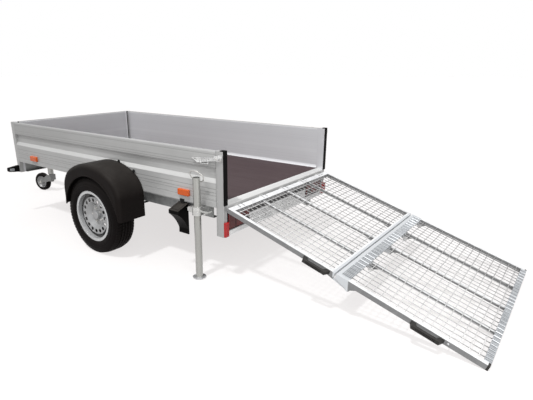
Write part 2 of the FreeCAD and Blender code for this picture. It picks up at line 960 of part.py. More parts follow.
def stand_clamp():
    """Split clamp on an arm from the side member, with its spindle and bar."""
    bore = stand_tube_radius + clamp_gap
    outer = bore + clamp_wall
    low = clamp_bottom
    high = clamp_bottom + clamp_height
    middle = (low + high) / 2
    ring = rod(vec(stand_x, stand_y, low), vec(stand_x, stand_y, high), outer)
    arm = block(stand_x - clamp_arm_width / 2, stand_x + clamp_arm_width / 2,
                inner_wall, stand_y, low, member_shelf_bottom)
    lug = block(stand_x, stand_x + outer + clamp_lug_reach, stand_y - clamp_lug_width / 2,
                stand_y + clamp_lug_width / 2, middle - clamp_lug_height / 2,
                middle + clamp_lug_height / 2)
    lug_edges = [
        edge for edge in lug.Edges
        if edge.BoundBox.YLength > clamp_wall and edge.BoundBox.XMin > stand_x + outer
    ]
    lug = lug.makeFillet(clamp_lug_height / 3, lug_edges)
    wing_x = stand_x - clamp_bolt_reach - outer
    bolt = rod(vec(stand_x, stand_y, middle), vec(wing_x, stand_y, middle), clamp_bolt_radius)
    wing = rod(vec(wing_x, stand_y - clamp_wing_length / 2, middle),
               vec(wing_x, stand_y + clamp_wing_length / 2, middle), clamp_wing_radius)
    body = joined([ring, arm, lug, bolt, wing])
    hole = rod(vec(stand_x, stand_y, low - cut_overrun),
               vec(stand_x, stand_y, high + cut_overrun), bore)
    slit = block(stand_x, stand_x + outer + clamp_lug_reach + cut_overrun,
                 stand_y - clamp_slit / 2, stand_y + clamp_slit / 2,
                 low - cut_overrun, high + cut_overrun)
    return body.cut([hole, slit])


# Jockey wheel


def turned_jockey(shape):
    """Swing a piece drawn straight ahead to the angle at which the wheel rests."""
    shape.rotate(vec(jockey_x, jockey_y, 0), vec(0, 0, 1), jockey_turn)
    return shape


def jockey_mast():
    """Clamped outer tube with its head and crank."""
    low = jockey_tube_bottom
    high = jockey_tube_top
    body = tube(vec(jockey_x, jockey_y, low), vec(jockey_x, jockey_y, high),
                jockey_tube_radius, jockey_tube_radius - jockey_stem_radius - stem_gap)
    head = rod(vec(jockey_x, jockey_y, high), vec(jockey_x, jockey_y, high + jockey_plate),
               jockey_tube_radius)
    top = high + jockey_plate
    shaft = rod(vec(jockey_x, jockey_y, top), vec(jockey_x, jockey_y, top + jockey_tube_radius),
                jockey_crank_radius)
    bend = top + jockey_tube_radius
    arm = rod(vec(jockey_x, jockey_y, bend),
              vec(jockey_x - jockey_crank_reach, jockey_y, bend), jockey_crank_radius)
    end = jockey_x - jockey_crank_reach
    grip_low = bend - jockey_crank_radius - jockey_crank_grip_length
    handle = rod(vec(end, jockey_y, grip_low), vec(end, jockey_y, bend + jockey_crank_radius),
                 jockey_crank_grip)
    return joined([body, head, shaft, arm, handle])


def jockey_fork():
    """Stem that turns in the mast, with a cheek on each side of the wheel."""
    high = jockey_tube_bottom + jockey_tube_radius * 3
    stem = rod(vec(jockey_x, jockey_y, jockey_stem_bottom), vec(jockey_x, jockey_y, high),
               jockey_stem_radius)
    half = jockey_wheel_width / 2 + jockey_side_gap
    wheel_x = jockey_x + jockey_trail
    hub_r = jockey_pin_radius * 2
    shapes = [stem]
    for side in (-1, 1):
        y0 = jockey_y + side * half
        y1 = y0 + side * jockey_plate
        low, high_y = min(y0, y1), max(y0, y1)
        cheek = [
            (jockey_x - jockey_stem_radius, jockey_stem_bottom + hub_r),
            (jockey_x - jockey_stem_radius, jockey_stem_bottom + hub_r * 5),
            (jockey_x + jockey_stem_radius, jockey_stem_bottom + hub_r * 5),
            (wheel_x, jockey_wheel_radius + hub_r),
            ((wheel_x + hub_r, jockey_wheel_radius), (wheel_x, jockey_wheel_radius - hub_r)),
        ]
        shapes.append(swept_y(cheek, low, high_y))
    bridge = block(jockey_x - jockey_stem_radius, jockey_x - jockey_stem_radius + jockey_plate,
                   jockey_y - half - jockey_plate, jockey_y + half + jockey_plate,
                   jockey_stem_bottom + hub_r, jockey_stem_bottom + hub_r * 5)
    pin = rod(vec(wheel_x, jockey_y - half, jockey_wheel_radius),
              vec(wheel_x, jockey_y + half, jockey_wheel_radius), jockey_pin_radius)
    return turned_jockey(joined(shapes + [bridge, pin]))


def jockey_tyre():
    half = jockey_wheel_width / 2
    x = jockey_x + jockey_trail
    radius = jockey_wheel_radius
    inner = jockey_rim_radius + seat_gap
    points = [
        (jockey_y - half * 0.8, inner),
        (jockey_y - half, radius - half * 0.7),
        ((jockey_y - half * 0.75, radius - half * 0.2), (jockey_y - half * 0.4, radius)),
        (jockey_y + half * 0.4, radius),
        ((jockey_y + half * 0.75, radius - half * 0.2), (jockey_y + half, radius - half * 0.7)),
        (jockey_y + half * 0.8, inner),
    ]
    return turned_jockey(turned_y(points, x, radius))


def jockey_rim():
    half = jockey_wheel_width / 2
    x = jockey_x + jockey_trail
    bore = jockey_pin_radius + seat_gap
    points = [
        (jockey_y - half, bore), (jockey_y - half, bore * 2.4), (jockey_y - half * 0.3, bore * 3.2),
        (jockey_y - half * 0.3, jockey_rim_radius - half * 0.5), (jockey_y - half * 0.8, jockey_rim_radius),
        (jockey_y + half * 0.8, jockey_rim_radius), (jockey_y + half * 0.3, jockey_rim_radius - half * 0.5),
        (jockey_y + half * 0.3, bore * 3.2), (jockey_y + half, bore * 2.4), (jockey_y + half, bore),
    ]
    return turned_jockey(turned_y(points, x, jockey_wheel_radius))


def jockey_clamp():
    """Split clamp on the drawbar's left side."""
    bore = jockey_tube_radius + clamp_gap
    outer = bore + jockey_clamp_wall
    middle = front_post_bottom - drawbar_size / 2
    low = middle - jockey_clamp_height / 2
    high = middle + jockey_clamp_height / 2
    ring = rod(vec(jockey_x, jockey_y, low), vec(jockey_x, jockey_y, high), outer)
    foot = block(jockey_x - outer, jockey_x + outer, drawbar_size / 2, jockey_y, low, high)
    end = jockey_y + outer + clamp_bolt_reach / 2
    bolt = rod(vec(jockey_x, jockey_y, middle), vec(jockey_x, end, middle), clamp_bolt_radius)
    wing = rod(vec(jockey_x, end, middle - clamp_wing_length / 2),
               vec(jockey_x, end, middle + clamp_wing_length / 2), clamp_wing_radius)
    body = joined([ring, foot, bolt, wing])
    body = body.cut(block(jockey_x - outer, jockey_x + outer, 0, drawbar_size / 2, low, high))
    hole = rod(vec(jockey_x, jockey_y, low - cut_overrun),
               vec(jockey_x, jockey_y, high + cut_overrun), bore)
    return body.cut(hole)


# Coupling


def coupling():
    """Pressed head that wraps the drawbar's end and closes over the ball."""
    half = drawbar_size / 2 + coupling_wall
    x0 = drawbar_end - coupling_overlap
    high = front_post_bottom + coupling_wall
    low = high - coupling_height
    nose = half
    points = [
        (x0, -half), (coupling_nose - nose, -half),
        ((coupling_nose, 0), (coupling_nose - nose, half)), (x0, half),
    ]
    body = swept_z(points, low, high)
    body = body.cut(block(x0 - cut_overrun, drawbar_end, -drawbar_size / 2, drawbar_size / 2,
                          low - cut_overrun, front_post_bottom))
    ball_x = coupling_nose - nose
    ball_z = high - coupling_wall * 2 - ball_radius
    radius = ball_radius + ball_gap
    ball = Part.makeSphere(radius, vec(ball_x, 0, ball_z))
    throat = rod(vec(ball_x, 0, low - cut_overrun), vec(ball_x, 0, ball_z), radius)
    return body.cut([ball, throat])


def coupling_lever():
    """Lifting lever on top of the head."""
    half = coupling_lever_width / 2
    x0 = coupling_nose - drawbar_size
    z0 = front_post_bottom + coupling_wall
    thick = coupling_lever_thickness
    back = x0 - coupling_lever_length
    points = [
        (x0, z0), (x0, z0 + thick),
        ((x0 - coupling_lever_length / 2, z0 + thick * 2.6), (back, z0 + thick * 2)),
        (back, z0 + thick),
        ((x0 - coupling_lever_length / 2, z0 + thick * 1.5), (x0 - thick * 2, z0)),
    ]
    return swept_y(points, -half, half)


# Ramp, drawn level behind its hinge pin and then laid on its slope


def laid(shape):
    """Turn a level ramp piece down to the ground and move it to the hinge."""
    shape.rotate(vec(0, 0, 0), vec(0, 1, 0), -slope)
    shape.translate(vec(ramp_hinge_x, 0, ramp_hinge_z))
    return shape


def strip(s0, s1, y0, y1, depth0, depth1):
    """Level ramp block: s runs down the ramp, depth down from its top face."""
    top = rail_height / 2
    return block(-s1, -s0, y0, y1, top - depth1, top - depth0)


def ramp_frame(s0, s1, start_width):
    """Two side rails, a cross bar at each end and three bars under the wires."""
    half = ramp_width / 2
    inside = half - rail_width
    shapes = [strip(s0, s1, inside, half, 0, rail_height)]
    shapes += [mirrored(shapes[0])]
    shapes += [strip(s0, s0 + start_width, -inside, inside, 0, rail_height)]
    shapes += [strip(s1 - rail_width, s1, -inside, inside, 0, rail_height)]
    depth = 2 * (wire_size + wire_gap)
    for share in bar_places_share:
        y = share * inside
        shapes.append(strip(s0 + start_width, s1 - rail_width, y - bar_width / 2,
                            y + bar_width / 2, depth, depth + bar_height))
    return shapes


def cross_wires(s0, s1):
    """Upper layer of the mesh, from rail to rail."""
    inside = ramp_width / 2 - rail_width
    count = int((s1 - s0) // wire_pitch)
    start = (s0 + s1 - (count - 1) * wire_pitch) / 2
    half = wire_size / 2
    places = [start + index * wire_pitch for index in range(count)]
    return [laid(strip(s - half, s + half, -inside, inside, 0, wire_size)) for s in places]


def long_wires(s0, s1):
    """Lower layer of the mesh, from end tube to end tube."""
    inside = ramp_width / 2 - rail_width
    count = int(2 * inside // wire_pitch)
    start = -(count - 1) * wire_pitch / 2
    half = wire_size / 2
    places = [start + index * wire_pitch for index in range(count)]
    top = wire_size + wire_gap
    return [laid(strip(s0, s1, y - half, y + half, top, top + wire_size)) for y in places]


def hinge_slots(y):
    """Slots beside a knuckle that let the ramp swing past the hinge ears."""
    half = hinge_knuckle_width / 2
    far = half + 2 * gusset_gap + hinge_ear
    reach = hinge_ear_radius + hinge_slot_gap
    over = rail_height / 2 + cut_overrun
    slot = block(-reach, reach, half, far, -over, over)
    shapes = []
    for side in (-1, 1):
        moved = slot.copy()
        if side < 0:
            moved = mirrored(moved)
        moved.translate(vec(0, y, 0))
        shapes.append(moved)
    return shapes


def hinge_places():
    return [share * ramp_width / 2 for share in hinge_places_share]


def gusset_places():
    """Outer face of each plate that hangs the fold pins: rails and bars."""
    inside = ramp_width / 2 - rail_width
    places = [ramp_width / 2 - gusset_thickness, -ramp_width / 2]
    places += [share * inside - gusset_thickness / 2 for share in bar_places_share]
    return places


def inner_arm(y):
    """Plate of the inner section that reaches under the outer one to the fold pin."""
    under = -rail_height / 2
    pin_z = -fold_depth
    clear = fold_boss_radius
    points = [
        (-section_end + gusset_reach * 2, under),
        (-section_end, under),
        (-section_end, pin_z + clear),
        (-fold_pin, pin_z + clear),
        ((-fold_pin - clear, pin_z), (-fold_pin, pin_z - clear)),
    ]
    return swept_y(points, y, y + gusset_thickness)


def outer_gusset(y):
    """Triangular plate under the outer section, drilled for the fold pin."""
    under = -rail_height / 2
    pin_z = -fold_depth
    clear = fold_boss_radius
    points = [
        (-section_end - section_gap, under),
        (-fold_pin + clear, pin_z),
        ((-fold_pin, pin_z - clear), (-fold_pin - clear, pin_z)),
        (-fold_pin - gusset_reach, under),
    ]
    plate = swept_y(points, y, y + gusset_thickness)
    hole = rod(vec(-fold_pin, y - cut_overrun, pin_z),
               vec(-fold_pin, y + gusset_thickness + cut_overrun, pin_z),
               fold_pin_radius + hinge_pin_gap)
    return plate.cut(hole)


def inner_frame():
    shapes = ramp_frame(first_bar, section_end, root_bar_width)
    pin_z = -fold_depth
    for y in gusset_places():
        inward = -1 if y > 0 else 1
        arm_y = y + inward * (gusset_thickness + gusset_gap)
        shapes.append(inner_arm(arm_y))
        low = min(y, arm_y)
        high = max(y, arm_y) + gusset_thickness
        shapes.append(rod(vec(-fold_pin, low, pin_z), vec(-fold_pin, high, pin_z), fold_pin_radius))
    body = joined(shapes)
    cuts = []
    for y in hinge_places():
        cuts.append(rod(vec(0, y - hinge_knuckle_width, 0), vec(0, y + hinge_knuckle_width, 0),
                        hinge_pin_radius + hinge_pin_gap))
        cuts += hinge_slots(y)
    return laid(body.cut(cuts))


def rail_plug_block():
    """Moulded plug that closes the lower end of the left rail."""
    half = ramp_width / 2
    return strip(ramp_length - rail_plug, ramp_length, half - rail_width, half, 0, rail_height)


def outer_frame():
    shapes = ramp_frame(section_end + section_gap, ramp_length, rail_width)
    shapes += [outer_gusset(y) for y in gusset_places()]
    side = ramp_width / 2 - cut_overrun
    pin = rod(vec(-catch_pin_start, side, 0), vec(-catch_pin_start, side + catch_pin_reach, 0),
              catch_pin_radius)
    shapes += pair(pin)
    return laid(joined(shapes).cut(pair(rail_plug_block())))


def toothed_plate(s0, s1):
    """Cross plate whose top is pressed into teeth for grip."""
    inside = ramp_width / 2 - rail_width
    top = rail_height / 2
    plate = block(-s1, -s0, -inside, inside, top, top + tread_plate_thickness)
    count = int(2 * inside // tread_pitch)
    start = -(count - 1) * tread_pitch / 2
    teeth = []
    high = top + tread_plate_thickness
    for index in range(count):
        y = start + index * tread_pitch
        points = [(y - tread_pitch * 0.4, high), (y, high + tread_tooth), (y + tread_pitch * 0.1, high)]
        teeth.append(swept_x(points, -s1, -s0))
    return laid(joined([plate] + teeth))


def tread_plate():
    s0 = section_end + section_gap + tread_plate_start
    return toothed_plate(s0, s0 + tread_plate_length)


def end_plate():
    return toothed_plate(ramp_length - end_plate_length, ramp_length)


def grip(start):
    """Moulded pull handle on the left rail."""
    y0 = ramp_width / 2
    y1 = y0 + grip_reach
    thick = grip_thickness
    foot = grip_foot
    end = start + grip_length
    points = [
        (-start, y0), (-start - foot, y0), (-start - foot - thick / 2, y1 - thick),
        (-end + foot + thick / 2, y1 - thick), (-end + foot, y0), (-end, y0),
        (-end + foot * 0.6, y1), (-start - foot * 0.6, y1),
    ]
    return laid(swept_z(points, -thick / 2, thick / 2))


def hinge_bracket(y):
    """Two ears on the rear edge with the pin between them."""
    half = hinge_knuckle_width / 2 + gusset_gap
    shapes = []
    for side in (-1, 1):
        y0 = y + side * half
        y1 = y0 + side * hinge_ear
        low, high = min(y0, y1), max(y0, y1)
        eye = rod(vec(ramp_hinge_x, low, ramp_hinge_z), vec(ramp_hinge_x, high, ramp_hinge_z),
                  hinge_ear_radius)
        web = block(ramp_hinge_x, 0, low, high, ramp_hinge_z - hinge_ear_radius,
                    ramp_hinge_z + hinge_ear_radius)
        shapes += [eye, web]
    pin = rod(vec(ramp_hinge_x, y - half - hinge_ear, ramp_hinge_z),
              vec(ramp_hinge_x, y + half + hinge_ear, ramp_hinge_z), hinge_pin_radius)
    back = block(-hinge_ear, 0, y - half, y + half, ramp_hinge_z - hinge_ear_radius,
                 ramp_hinge_z + hinge_ear_radius)
    return joined(shapes + [pin, back])


# Latches and chocks


def latch():
    """Over-centre lever on the rear post, lying along the wall, with its draw rod."""
    x = latch_pivot_x
    z = latch_z
    y0 = half_bed
    y1 = y0 + latch_plate
    depth = latch_lever_depth
    plate = block(x - latch_plate_length / 2, x + latch_plate_length / 2, y0, y1,
                  z - latch_plate_height / 2, z + latch_plate_height / 2)
    edges = [edge for edge in plate.Edges if edge.BoundBox.YLength > latch_plate / 2]
    plate = plate.makeFillet(latch_boss_radius / 2, edges)
    boss = rod(vec(x, y0, z), vec(x, y1 + depth, z), latch_boss_radius)
    end = x + latch_lever_length
    root = latch_lever_root / 2
    fallen = z - latch_lever_fall
    points = [
        (x, z - root), (end, fallen - latch_lever_end), (end + latch_lever_slant, fallen),
        (x, z + root),
    ]
    lever = swept_y(points, y1, y1 + depth)
    wall = latch_lever_wall
    cover = next(face for face in lever.Faces if face.BoundBox.YMin > y1 + wall)
    lever = lever.cut(cover.makeOffset2D(-wall).extrude(vec(0, wall - depth, 0)))
    rod_y = y1 + depth / 2
    low = z - latch_rod_drop
    start = x + latch_rod_start
    stop = start + latch_rod_length
    radius = latch_rod_radius
    bail = [rod(vec(start - radius, rod_y, low), vec(stop + radius, rod_y, low), radius)]
    for link_x in (start, stop):
        bail.append(rod(vec(link_x, rod_y, low), vec(link_x, rod_y, z - root), radius))
    hook_low = z + latch_hook_rise
    hook = block(x - latch_pivot_x, x - latch_pivot_x + latch_hook_length, y0, y1 + depth,
                 hook_low, hook_low + latch_hook_height)
    return joined([plate, boss, lever, hook] + bail)


def chock():
    """Wedge hung toe down, its hollow face turned outward and curved to a tyre."""
    y0 = chock_back
    y1 = y0 + chock_height
    high = chock_top
    low = high - chock_length
    heel_high = high - chock_heel_drop
    heel_low = heel_high - chock_heel
    toe_y = y0 + chock_toe
    toe_z = low + chock_toe_length
    run = math.hypot(y1 - toe_y, heel_low - toe_z)
    hollow = tyre_radius - math.sqrt(tyre_radius ** 2 - (run / 2) ** 2)
    middle = (
        (toe_y + y1) / 2 - hollow * (heel_low - toe_z) / run,
        (toe_z + heel_low) / 2 + hollow * (y1 - toe_y) / run,
    )
    points = [
        (y0, low), (y0, high), (y1, heel_high), (y1, heel_low), (middle, (toe_y, toe_z)),
        (toe_y, low),
    ]
    body = swept_x(points, chock_start, chock_start + chock_width)
    edges = [edge for edge in body.Edges
             if edge.BoundBox.YMin > y1 - seat_gap and edge.BoundBox.XLength > chock_corner]
    return body.makeFillet(chock_corner, edges)


def chock_holder():
    """Bracket on the side member, hooked over the chock's upper edge."""
    x0 = chock_start + (chock_width - holder_width) / 2
    x1 = x0 + holder_width
    shelf = member_shelf_bottom
    under = shelf - holder_hook
    back = block(x0, x1, inner_wall, chock_back, chock_top - holder_reach, under)
    bridge = block(x0, x1, inner_wall, half_bed + holder_thickness, under, shelf)
    tab = block(x0, x1, half_bed, half_bed + holder_thickness, under, wall_bottom + holder_rise)
    return joined([back, bridge, tab])


def main():
    os.makedirs("parts", exist_ok=True)
    save("side_members", pair(side_member()))
    save("cross_members", cross_members() + [front_member()])
    save("drawbar", [drawbar()])
    save("coupling", [coupling()])
    save("coupling_lever", [coupling_lever()])
    save("axle", [joined([axle_beam()] + pair(swing_arm()))])
    save("floor_panel", [floor_panel()])
    save("wall_left", [side_wall()])
    save("wall_right", [mirrored(side_wall())])
    save("wall_front", [front_wall()])
    save("front_posts", pair(front_post()))
    save("rear_posts", pair(rear_post()))
    save("post_seals", pair(post_seal()))
    save("rear_sill", [rear_sill()])
    save("light_bar", [light_bar()])
    save("lamp_housings", pair(cluster_box()))
    save("red_lenses", pair(cluster_lens()) + pair(tail_lamp()))
    save("side_lamps", side_lamps())
    save("front_lamp_arms", pair(front_lamp_arm()))
    save("front_lamp_lenses", pair(front_lamp_lens()))
    save("mudguard_left", [mudguard()])
    save("mudguard_right", [mirrored(mudguard())])
    brackets = mudguard_stays() + [chock_holder()]
    save("side_brackets", brackets + [mirrored(bracket) for bracket in brackets])
    save("stand_clamps", pair(stand_clamp()))
    save("stand_left", [stand(0)])
    save("stand_right", [mirrored(stand(stand_raised))])
    save("wheel_chocks", pair(chock()))
    save("latches", pair(latch()))
    save("hinge_brackets", [hinge_bracket(y) for y in hinge_places()])
    save("tyre_left", [tyre()])
    save("rim_left", [rim(), hub()])
    save("tyre_right", [mirrored(tyre())])
    save("rim_right", [mirrored(rim()), mirrored(hub())])
    save("jockey_clamp", [jockey_clamp()])
    save("jockey_mast", [jockey_mast()])
    save("jockey_fork", [jockey_fork()])
    save("jockey_tyre", [jockey_tyre()])
    save("jockey_rim", [jockey_rim()])
    save("ramp_inner_frame", [inner_frame()])
    inner_ends = (first_bar + root_bar_width, section_end - rail_width)
    save("ramp_inner_mesh", cross_wires(*inner_ends) + long_wires(*inner_ends))
    save("ramp_inner_grip", [grip(grip_starts[0])])
    save("ramp_outer_frame", [outer_frame()])
    outer_ends = (section_end + section_gap + rail_width, ramp_length - rail_width)
    save("ramp_outer_mesh", cross_wires(*outer_ends) + long_wires(*outer_ends))
    plugs = [laid(plug) for plug in pair(rail_plug_block())]
    save("ramp_outer_grip", [grip(grip_starts[1])] + plugs)
    save("tread_strips", [tread_plate(), end_plate()])


main()
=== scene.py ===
import bpy
import bmesh
import math
from mathutils import Matrix, Vector


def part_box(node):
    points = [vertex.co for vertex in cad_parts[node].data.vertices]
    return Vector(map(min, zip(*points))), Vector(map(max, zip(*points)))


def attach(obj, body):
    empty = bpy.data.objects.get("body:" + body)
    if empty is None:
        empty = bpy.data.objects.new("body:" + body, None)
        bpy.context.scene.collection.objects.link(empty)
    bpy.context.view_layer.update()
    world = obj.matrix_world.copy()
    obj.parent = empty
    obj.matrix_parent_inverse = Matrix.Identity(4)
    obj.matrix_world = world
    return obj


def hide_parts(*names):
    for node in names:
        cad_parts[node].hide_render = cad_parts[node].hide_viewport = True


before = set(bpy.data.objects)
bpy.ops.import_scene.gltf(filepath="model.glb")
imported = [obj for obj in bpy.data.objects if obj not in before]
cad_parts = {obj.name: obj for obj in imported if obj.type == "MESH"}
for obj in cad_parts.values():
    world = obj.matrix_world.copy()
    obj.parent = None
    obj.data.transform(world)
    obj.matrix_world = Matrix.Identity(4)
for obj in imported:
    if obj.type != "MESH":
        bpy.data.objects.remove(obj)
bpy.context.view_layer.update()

# SIDE MEMBERS, CROSS MEMBERS AND AXLE
# Folded steel channels under the floor, dipped whole in hot zinc. The zinc
# freezes in dull grey crystals, a few millimetres to centimetres across.


def group_tree(name, inputs, outputs):
    """New shader group with named sockets and its two end nodes."""
    tree = bpy.data.node_groups.new(name, "ShaderNodeTree")
    for label, kind, value in inputs:
        socket = tree.interface.new_socket(label, in_out="INPUT", socket_type=kind)
        if value is not None:
            socket.default_value = value
    for label, kind in outputs:
        tree.interface.new_socket(label, in_out="OUTPUT", socket_type=kind)
    return tree, tree.nodes.new("NodeGroupInput"), tree.nodes.new("NodeGroupOutput")


def put(tree, kind, **values):
    """Add a node; underscored keys set its sockets, plain keys its settings."""
    node = tree.nodes.new(kind)
    for key, value in values.items():
        if key.startswith("_"):
            node.inputs[key[1:].replace("_", " ")].default_value = value
        else:
            setattr(node, key, value)
    return node


def link(source, target):
    """Join two sockets of one tree."""
    source.id_data.links.new(source, target)


def sum_up(tree, operation, first, second):
    """Math node on two sockets or numbers."""
    node = put(tree, "ShaderNodeMath", operation=operation)
    for index, value in enumerate((first, second)):
        if isinstance(value, (int, float)):
            node.inputs[index].default_value = value
        else:
            link(value, node.inputs[index])
    return node.outputs[0]


def spread(tree, value, low, high, low_to=0.0, high_to=1.0):
    """Map Range from one span to another, clamped."""
    node = put(tree, "ShaderNodeMapRange", _From_Min=low, _From_Max=high, _To_Min=low_to,
               _To_Max=high_to)
    link(value, node.inputs["Value"])
    return node.outputs["Result"]


def mixed(tree, factor, first, second, blend="MIX"):
    """Colour mix of sockets or plain colours."""
    node = put(tree, "ShaderNodeMix", data_type="RGBA", blend_type=blend)
    for index, value in ((0, factor), (6, first), (7, second)):
        if isinstance(value, (int, float)):
            node.inputs[index].default_value = value
        elif isinstance(value, tuple):
            node.inputs[index].default_value = (*value[:3], 1.0)
        else:
            link(value, node.inputs[index])
    return node.outputs[2]


# Cloudy tone: slow patches of lighter and darker colour over a whole surface.
cloud, cloud_in, cloud_out = group_tree(
    "cloudy_tone",
    [("Vector", "NodeSocketVector", None), ("Size", "NodeSocketFloat", 6.0),
     ("Light", "NodeSocketColor", (1, 1, 1, 1)), ("Dark", "NodeSocketColor", (0.5, 0.5, 0.5, 1))],
    [("Color", "NodeSocketColor"), ("Fac", "NodeSocketFloat")])
cloud_noise = put(cloud, "ShaderNodeTexNoise", _Detail=6.0, _Roughness=0.62)
link(cloud_in.outputs["Vector"], cloud_noise.inputs["Vector"])
link(cloud_in.outputs["Size"], cloud_noise.inputs["Scale"])
cloud_fac = spread(cloud, cloud_noise.outputs["Fac"], 0.32, 0.68)
link(mixed(cloud, cloud_fac, cloud_in.outputs["Dark"], cloud_in.outputs["Light"]),
     cloud_out.inputs["Color"])
link(cloud_fac, cloud_out.inputs["Fac"])

# Edge wear: a broken mask that lights up where two faces meet at an edge.
edges, edges_in, edges_out = group_tree(
    "edge_wear",
    [("Width", "NodeSocketFloat", 0.003), ("Break", "NodeSocketFloat", 40.0),
     ("Vector", "NodeSocketVector", None)],
    [("Mask", "NodeSocketFloat")])
edge_bevel = put(edges, "ShaderNodeBevel", samples=4)
link(edges_in.outputs["Width"], edge_bevel.inputs["Radius"])
edge_geometry = edges.nodes.new("ShaderNodeNewGeometry")
edge_dot = put(edges, "ShaderNodeVectorMath", operation="DOT_PRODUCT")
link(edge_bevel.outputs["Normal"], edge_dot.inputs[0])
link(edge_geometry.outputs["Normal"], edge_dot.inputs[1])
edge_noise = put(edges, "ShaderNodeTexNoise", _Detail=4.0)
link(edges_in.outputs["Vector"], edge_noise.inputs["Vector"])
link(edges_in.outputs["Break"], edge_noise.inputs["Scale"])
edge_mask = sum_up(edges, "MULTIPLY", spread(edges, edge_dot.outputs["Value"], 0.995, 0.90),
                   edge_noise.outputs["Fac"])
link(edge_mask, edges_out.inputs["Mask"])

# Dust, and painted shade on zinc sides: a mask on what faces up, in soft patches.
dust_and_shade, upward_in, upward_out = group_tree(
    "dust_and_side_shade",
    [("Vector", "NodeSocketVector", None), ("Amount", "NodeSocketFloat", 0.4),
     ("Patch", "NodeSocketFloat", 9.0)],
    [("Mask", "NodeSocketFloat")])
upward_geometry = dust_and_shade.nodes.new("ShaderNodeNewGeometry")
upward_split = dust_and_shade.nodes.new("ShaderNodeSeparateXYZ")
link(upward_geometry.outputs["Normal"], upward_split.inputs[0])
upward_noise = put(dust_and_shade, "ShaderNodeTexNoise", _Detail=8.0, _Roughness=0.65)
link(upward_in.outputs["Vector"], upward_noise.inputs["Vector"])
link(upward_in.outputs["Patch"], upward_noise.inputs["Scale"])
upward_facing = spread(dust_and_shade, upward_split.outputs["Z"], 0.05, 0.95)
upward_patch = spread(dust_and_shade, upward_noise.outputs["Fac"], 0.3, 0.7, 0.55, 1.0)
upward_mask = sum_up(dust_and_shade, "MULTIPLY", upward_facing, upward_patch)
link(sum_up(dust_and_shade, "MULTIPLY", upward_mask, upward_in.outputs["Amount"]), upward_out.inputs["Mask"])


def axes_of(tree, place):
    """X, Y and Z of a place."""
    axes = tree.nodes.new("ShaderNodeSeparateXYZ")
    link(place, axes.inputs[0])
    return axes.outputs


def away_from(tree, axis, plane):
    """Distance from a plane across an axis."""
    return sum_up(tree, "ABSOLUTE", sum_up(tree, "SUBTRACT", axis, plane), 0)


def start_material(name, **plain):
    """Material with its shader's plain values set, and Object coordinates."""
    material = bpy.data.materials.new(name)
    material.use_nodes = True
    tree = material.node_tree
    shader = tree.nodes["Principled BSDF"]
    for key, value in plain.items():
        shader.inputs[key.replace("_", " ")].default_value = value
    place = tree.nodes.new("ShaderNodeTexCoord").outputs["Object"]
    return material, tree, shader, place


def use_group(tree, group, place, **values):
    """Place a shader group on the surface's own coordinates."""
    node = tree.nodes.new("ShaderNodeGroup")
    node.node_tree = group
    link(place, node.inputs["Vector"])
    for key, value in values.items():
        node.inputs[key].default_value = (*value, 1.0) if isinstance(value, tuple) else value
    return node


def noise(tree, place, scale, detail, stretch=None):
    """Noise on the surface, drawn out along an axis where a stretch is given."""
    if stretch:
        mapping = put(tree, "ShaderNodeMapping", _Scale=stretch)
        link(place, mapping.inputs["Vector"])
        place = mapping.outputs["Vector"]
    node = put(tree, "ShaderNodeTexNoise", _Scale=scale, _Detail=detail, _Roughness=0.6)
    link(place, node.inputs["Vector"])
    return node.outputs["Fac"]


def bump(tree, shader, height, strength, distance):
    """Feed a height into the shader's normal."""
    node = put(tree, "ShaderNodeBump", _Strength=strength, _Distance=distance)
    link(height, node.inputs["Height"])
    link(node.outputs["Normal"], shader.inputs["Normal"])


